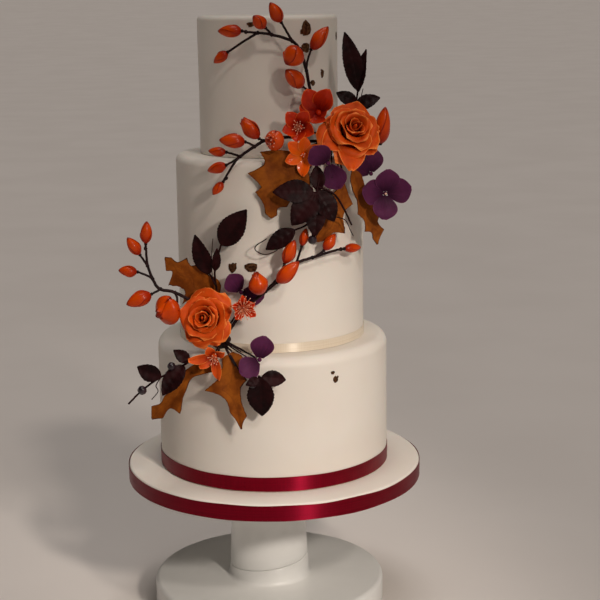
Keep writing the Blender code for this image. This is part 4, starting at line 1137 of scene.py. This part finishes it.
def flower_petal(length, width, angles, rows, columns, cup, blunt, twist, ruffle=0.0, phase=0.0):
    """Grid and tone of a petal that leaves the middle of a flower facing +Z, lifted by angles[0] degrees at
    first and by angles[1] at its rim. Its twist sets one long edge above the next petal's."""
    grid, tone = [], []
    r, z = 2.3, 0.0
    step = length / (rows - 1)
    for i in range(rows):
        t = i / (rows - 1)
        lift = math.radians(angles[0] + (angles[1] - angles[0]) * t)
        half = width / 2 * max(0.16, math.sin(math.pi * (0.06 + 0.93 * t**blunt)) ** 0.7)
        line, values = [], []
        for j in range(columns):
            u = 2 * j / (columns - 1) - 1
            crease = 0.35 * math.exp(-(u / 0.16) ** 2) * math.sin(math.pi * t)
            hollow = cup * half * u * u + twist * u * t - crease + ruffle * math.sin(4 * u + phase) * t * t
            line.append((r - hollow * math.sin(lift), u * half, z + hollow * math.cos(lift)))
            values.append((max(ease(t, 0.90, 1.0), ease(abs(u), 0.82, 1.0)), t, u * 0.5))
        grid.append(line)
        tone.append(values)
        r += step * math.cos(lift)
        z += step * math.sin(lift)
    return np.array(grid), np.array(tone)


def build_flowers():
    for index, (node, (base, face, length, width, angles, petals)) in enumerate(FLOWERS.items()):
        rng = random.Random(index + 20)
        base = np.asarray(base, float)
        forward = unit(np.subtract(face, base))
        turn = flower_axes(forward)
        # flower_under takes the rose finish: its darker body and deep heart paint the shade that this flower
        # lies in.
        look = {"flower_star": "star", "flower_under": "rose"}.get(node, "flower")
        skin = Skin()
        for k, (direction, share) in enumerate(petals):
            opening = (angles[0], angles[1] + rng.uniform(-4, 4))
            grid, tone = flower_petal(length * share, width, opening, 16, 13, 0.25, 1.1, 1.6, 0.5, k * 1.7)
            grid = about_z(grid, math.radians(direction))
            skin.add(*sheet(base + grid @ turn, PETAL_THICKNESS, tone + (0, 0, 3 * k)))
        skin.add(*bead(base, (3.2, 3.2, 3.4), tuple(forward), 16, 10))
        skin.make(node + "_petals", look, node)
    for node, count, length, spread in (
        ("flower_middle", 16, 13, 0.6), ("flower_side", 34, 18, 0.9), ("flower_star", 5, 5, 0.5),
        ("flower_under", 12, 11, 0.7),
    ):
        base, face = FLOWERS[node][:2]
        stamens(base, np.subtract(face, base), count, length, spread, count).make(node + "_stamens", "stamen")


def build_florets():
    for node, (centre, face, length, width, directions) in FLORETS.items():
        centre = np.asarray(centre, float)
        forward = unit(np.subtract(face, centre))
        turn = flower_axes(forward)
        skin = Skin()
        for k, direction in enumerate(directions):
            grid, tone = flower_petal(length, width, (26 + 8 * (k % 2), 4), 18, 15, 0.10, 1.25, 0.8, 0.4, k)
            grid = about_z(grid, math.radians(direction))
            skin.add(*sheet(centre + grid @ turn, PETAL_THICKNESS, tone + (0, 0, 3 * k)))
        skin.add(*bead(centre, (2.3, 2.3, 1.8), tuple(forward), 16, 10))
        skin.make(node + "_petals", "violet", node)
        if node == "floret_right":
            heart = Skin().add(*bead(centre + forward * 2.4, (1.3, 1.3, 0.9), tuple(forward), 12, 8, 0.1))
            heart.make("floret_heart", "stamen")


def oak_rim(knots, steps=7):
    """One long edge of an oak leaf as (reach, place) in shares of its length, smooth between the lobes."""
    corners = [(0.012, 0.0), *((knot[1], knot[0]) for knot in knots), (0.010, 1.0)]
    points = [0] + [i + 1 for i, knot in enumerate(knots) if len(knot) == 3] + [len(knots) + 1]
    runs = [smooth_path(corners[a:b + 1], steps)[:-1] for a, b in zip(points, points[1:])]
    return np.concatenate([*runs, [corners[-1]]])


def line_distance(points, start, end):
    """Distance of flat points from a straight line between two places."""
    start, way = np.asarray(start, float), np.subtract(end, start)
    share = np.clip(((points - start) @ way) / np.dot(way, way), 0, 1)
    return np.linalg.norm(points - start - share[..., None] * way, axis=-1)


def build_oak_leaves():
    for node, (foot, tip, facing, sag, fold, left_knots, right_knots) in OAK_LEAVES.items():
        rng = random.Random(node)
        length = np.linalg.norm(np.subtract(tip, foot))
        left, right = oak_rim(left_knots) * (-1, 1), oak_rim(right_knots)
        for side in (left, right):
            side[1:-1, 0] *= [1 + 0.03 * rng.uniform(-1, 1) for _ in side[1:-1]]
        share = np.linspace(0, 1, 21)[:, None, None]
        flat = (left + (right - left) * share).transpose(1, 0, 2) * length
        rims = np.concatenate([left, right]) * length
        away = np.linalg.norm(flat[:, :, None] - rims, axis=-1).min(-1)
        rim = np.exp(-(away**1.3))
        middle = (left + right)[:, 0] / 2 * length
        vein = np.exp(-(((flat[..., 0] - middle[:, None]) / 0.8) ** 2))
        for side, knots in ((-1, left_knots), (1, right_knots)):
            for knot in knots:
                if len(knot) == 3:
                    start = (0, max(0.02, knot[0] - 0.16 - 0.2 * knot[1]) * length)
                    away = line_distance(flat, start, (side * knot[1] * length * 0.95, knot[0] * length))
                    vein = np.maximum(vein, 0.7 * np.exp(-((away / 0.7) ** 2)))
        x, t = flat[..., 0], flat[..., 1] / length
        phase = rng.uniform(0, 6)
        wave = 1.2 * np.sin(x * 0.22 + phase) * np.sin(t * 9 + phase) * np.minimum(1, np.abs(x) / 10)
        lift = fold * np.abs(x) + 4 * sag * t * (1 - t) + wave - 0.35 * vein
        grid = np.stack([x, t * length, lift], -1)
        tone = np.stack([rim, t, x / length], -1)
        turn = leaf_axes(np.subtract(tip, foot), facing)
        blade = sheet(np.asarray(foot, float) + grid @ turn, OAK_THICKNESS, tone, vein)
        Skin().add(*blade).make(node + "_blade", "oak", node)


def plum_leaf(skin, foot, tip, width, facing, seed, rows=42, columns=15):
    """A pointed oval leaf with small teeth, folded a little along its midrib."""
    rng = random.Random(seed)
    foot = np.asarray(foot, float)
    length = np.linalg.norm(np.subtract(tip, foot))
    turn = leaf_axes(np.subtract(tip, foot), facing)
    teeth, phase = max(6, round(length / 3.6)), rng.uniform(0, 6)
    grid, tone = [], []
    for t in np.linspace(0, 1, rows):
        half = width / 2 * max(0.05, math.sin(math.pi * (0.015 + 0.985 * t**0.85)) ** 0.8)
        tooth = 1 + 0.07 * ((t * teeth) % 1.0 - 0.5) * ease(t, 0.12, 0.3)
        line, values = [], []
        for u in np.linspace(-1, 1, columns):
            x = u * half * (1 + (tooth - 1) * abs(u) ** 4)
            lift = 0.22 * half * abs(u) + 0.20 * length * t * (1 - t)
            lift += 0.7 * math.sin(t * 8 + phase + u) * u * u
            lift += 0.25 * math.cos(u * 3) * math.sin(t * teeth * 3)
            line.append((x, t * length, lift))
            values.append((max(ease(abs(u), 0.85, 1.0), ease(t, 0.95, 1.0)), t, u))
        grid.append(line)
        tone.append(values)
    skin.add(*sheet(foot + np.array(grid) @ turn, PLUM_THICKNESS, np.array(tone)))


def build_plum_leaves():
    berries = Skin()
    for index, (node, spray) in enumerate(LEAF_SPRAYS.items()):
        skin = Skin()
        for k, leaf in enumerate(spray["leaves"]):
            plum_leaf(skin, *leaf, seed=index * 10 + k)
        for stalk in spray["stalks"]:
            skin.add(*tube(smooth_path(stalk), (TWIG_RADIUS, TWIG_RADIUS * 0.8), 8, 0.08))
        for tendril in spray["tendrils"]:
            skin.add(*tube(smooth_path(tendril, 8), (0.6, 0.45), 6))
        skin.make(node + "_blades", "plum", node)
        for centre, radius in spray["berries"]:
            berries.add(*bead(centre, (radius, radius, radius * 1.05), (0.2, -0.9, 0.3), 20, 14, 0.03))
            nub = np.asarray(centre, float) + unit((0.2, -0.9, 0.3)) * radius
            berries.add(*bead(nub, (0.9, 0.9, 0.7), (0.2, -0.9, 0.3), 8, 6))
    berries.make("berries", "berry")


# Camera, lights and floor

def build_camera():
    data = bpy.data.cameras.new("camera")
    data.sensor_width = 36.0
    data.lens = CAMERA_LENS
    camera = bpy.data.objects.new("camera", data)
    turn = Matrix.Rotation(math.pi / 2 - CAMERA_PITCH, 4, "X") @ Matrix.Rotation(CAMERA_ROLL, 4, "Z")
    camera.matrix_world = Matrix.Translation(CAMERA_PLACE) @ turn
    bpy.context.scene.collection.objects.link(camera)
    bpy.context.scene.camera = camera


def add_sun(name, azimuth, height, strength, angle, colour):
    """A far light from so many degrees right of the front and so many degrees up."""
    data = bpy.data.lights.new(name, "SUN")
    data.energy = strength
    data.angle = math.radians(angle)
    data.color = colour
    light = bpy.data.objects.new(name, data)
    a, e = math.radians(azimuth), math.radians(height)
    way = Vector((math.sin(a) * math.cos(e), -math.cos(a) * math.cos(e), math.sin(e)))
    light.rotation_euler = way.to_track_quat("Z", "Y").to_euler()
    bpy.context.scene.collection.objects.link(light)


def build_studio():
    bpy.context.scene.view_settings.view_transform = "Standard"
    add_sun("key", 27, 42, 0.50, 5, (1.0, 0.90, 0.81))
    add_sun("overhead", 0, 86, 1.05, 30, (1.0, 0.95, 0.915))
    data = bpy.data.lights.new("lamp", "SPOT")
    data.energy = 106
    data.spot_size = math.radians(22)
    data.spot_blend = 1.0
    data.shadow_soft_size = 0.10
    data.color = (1.0, 0.90, 0.81)
    lamp = bpy.data.objects.new("lamp", data)
    lamp.location = (0.93, -1.83, 1.24)
    lamp.rotation_euler = (Vector((0.0, 0.0, 0.15)) - lamp.location).to_track_quat("-Z", "Y").to_euler()
    bpy.context.scene.collection.objects.link(lamp)
    world = bpy.data.worlds.new("studio")
    world.use_nodes = True
    world.node_tree.nodes["Background"].inputs["Color"].default_value = (1.0, 0.92, 0.87, 1.0)
    world.node_tree.nodes["Background"].inputs["Strength"].default_value = 0.03
    bpy.context.scene.world = world
    look = Look("floor", None, Roughness=0.6)
    cloud = look.noise(look.place(), 3.0, 3.0)
    look.colour(look.mix(look.span(cloud, 0.3, 0.7), (0.73, 0.675, 0.63), (0.76, 0.705, 0.66)))
    mesh = bpy.data.meshes.new("floor")
    turn = np.linspace(0, math.tau, 96, endpoint=False)
    reach = np.geomspace(8, 900, 24)
    rise = 0.09 * (reach - 8) ** 2 / (reach + 20)
    rings = [np.stack([r * np.cos(turn), r * np.sin(turn), 0 * turn + z], 1) for r, z in zip(reach, rise)]
    faces = [list(range(96))] + grid_faces(len(rings), 96, True)[:, ::-1].tolist()
    mesh.from_pydata(np.concatenate(rings).tolist(), [], faces)
    mesh.shade_smooth()
    mesh.materials.append(look.material)
    floor = bpy.data.objects.new("floor", mesh)
    bpy.context.scene.collection.objects.link(floor)


build_camera()
build_studio()
build_stand()
build_tiers()
build_ribbons()
build_gold()
build_stems()
build_buds()
build_roses()
build_flowers()
build_florets()
build_oak_leaves()
build_plum_leaves()

bpy.context.view_layer.update()
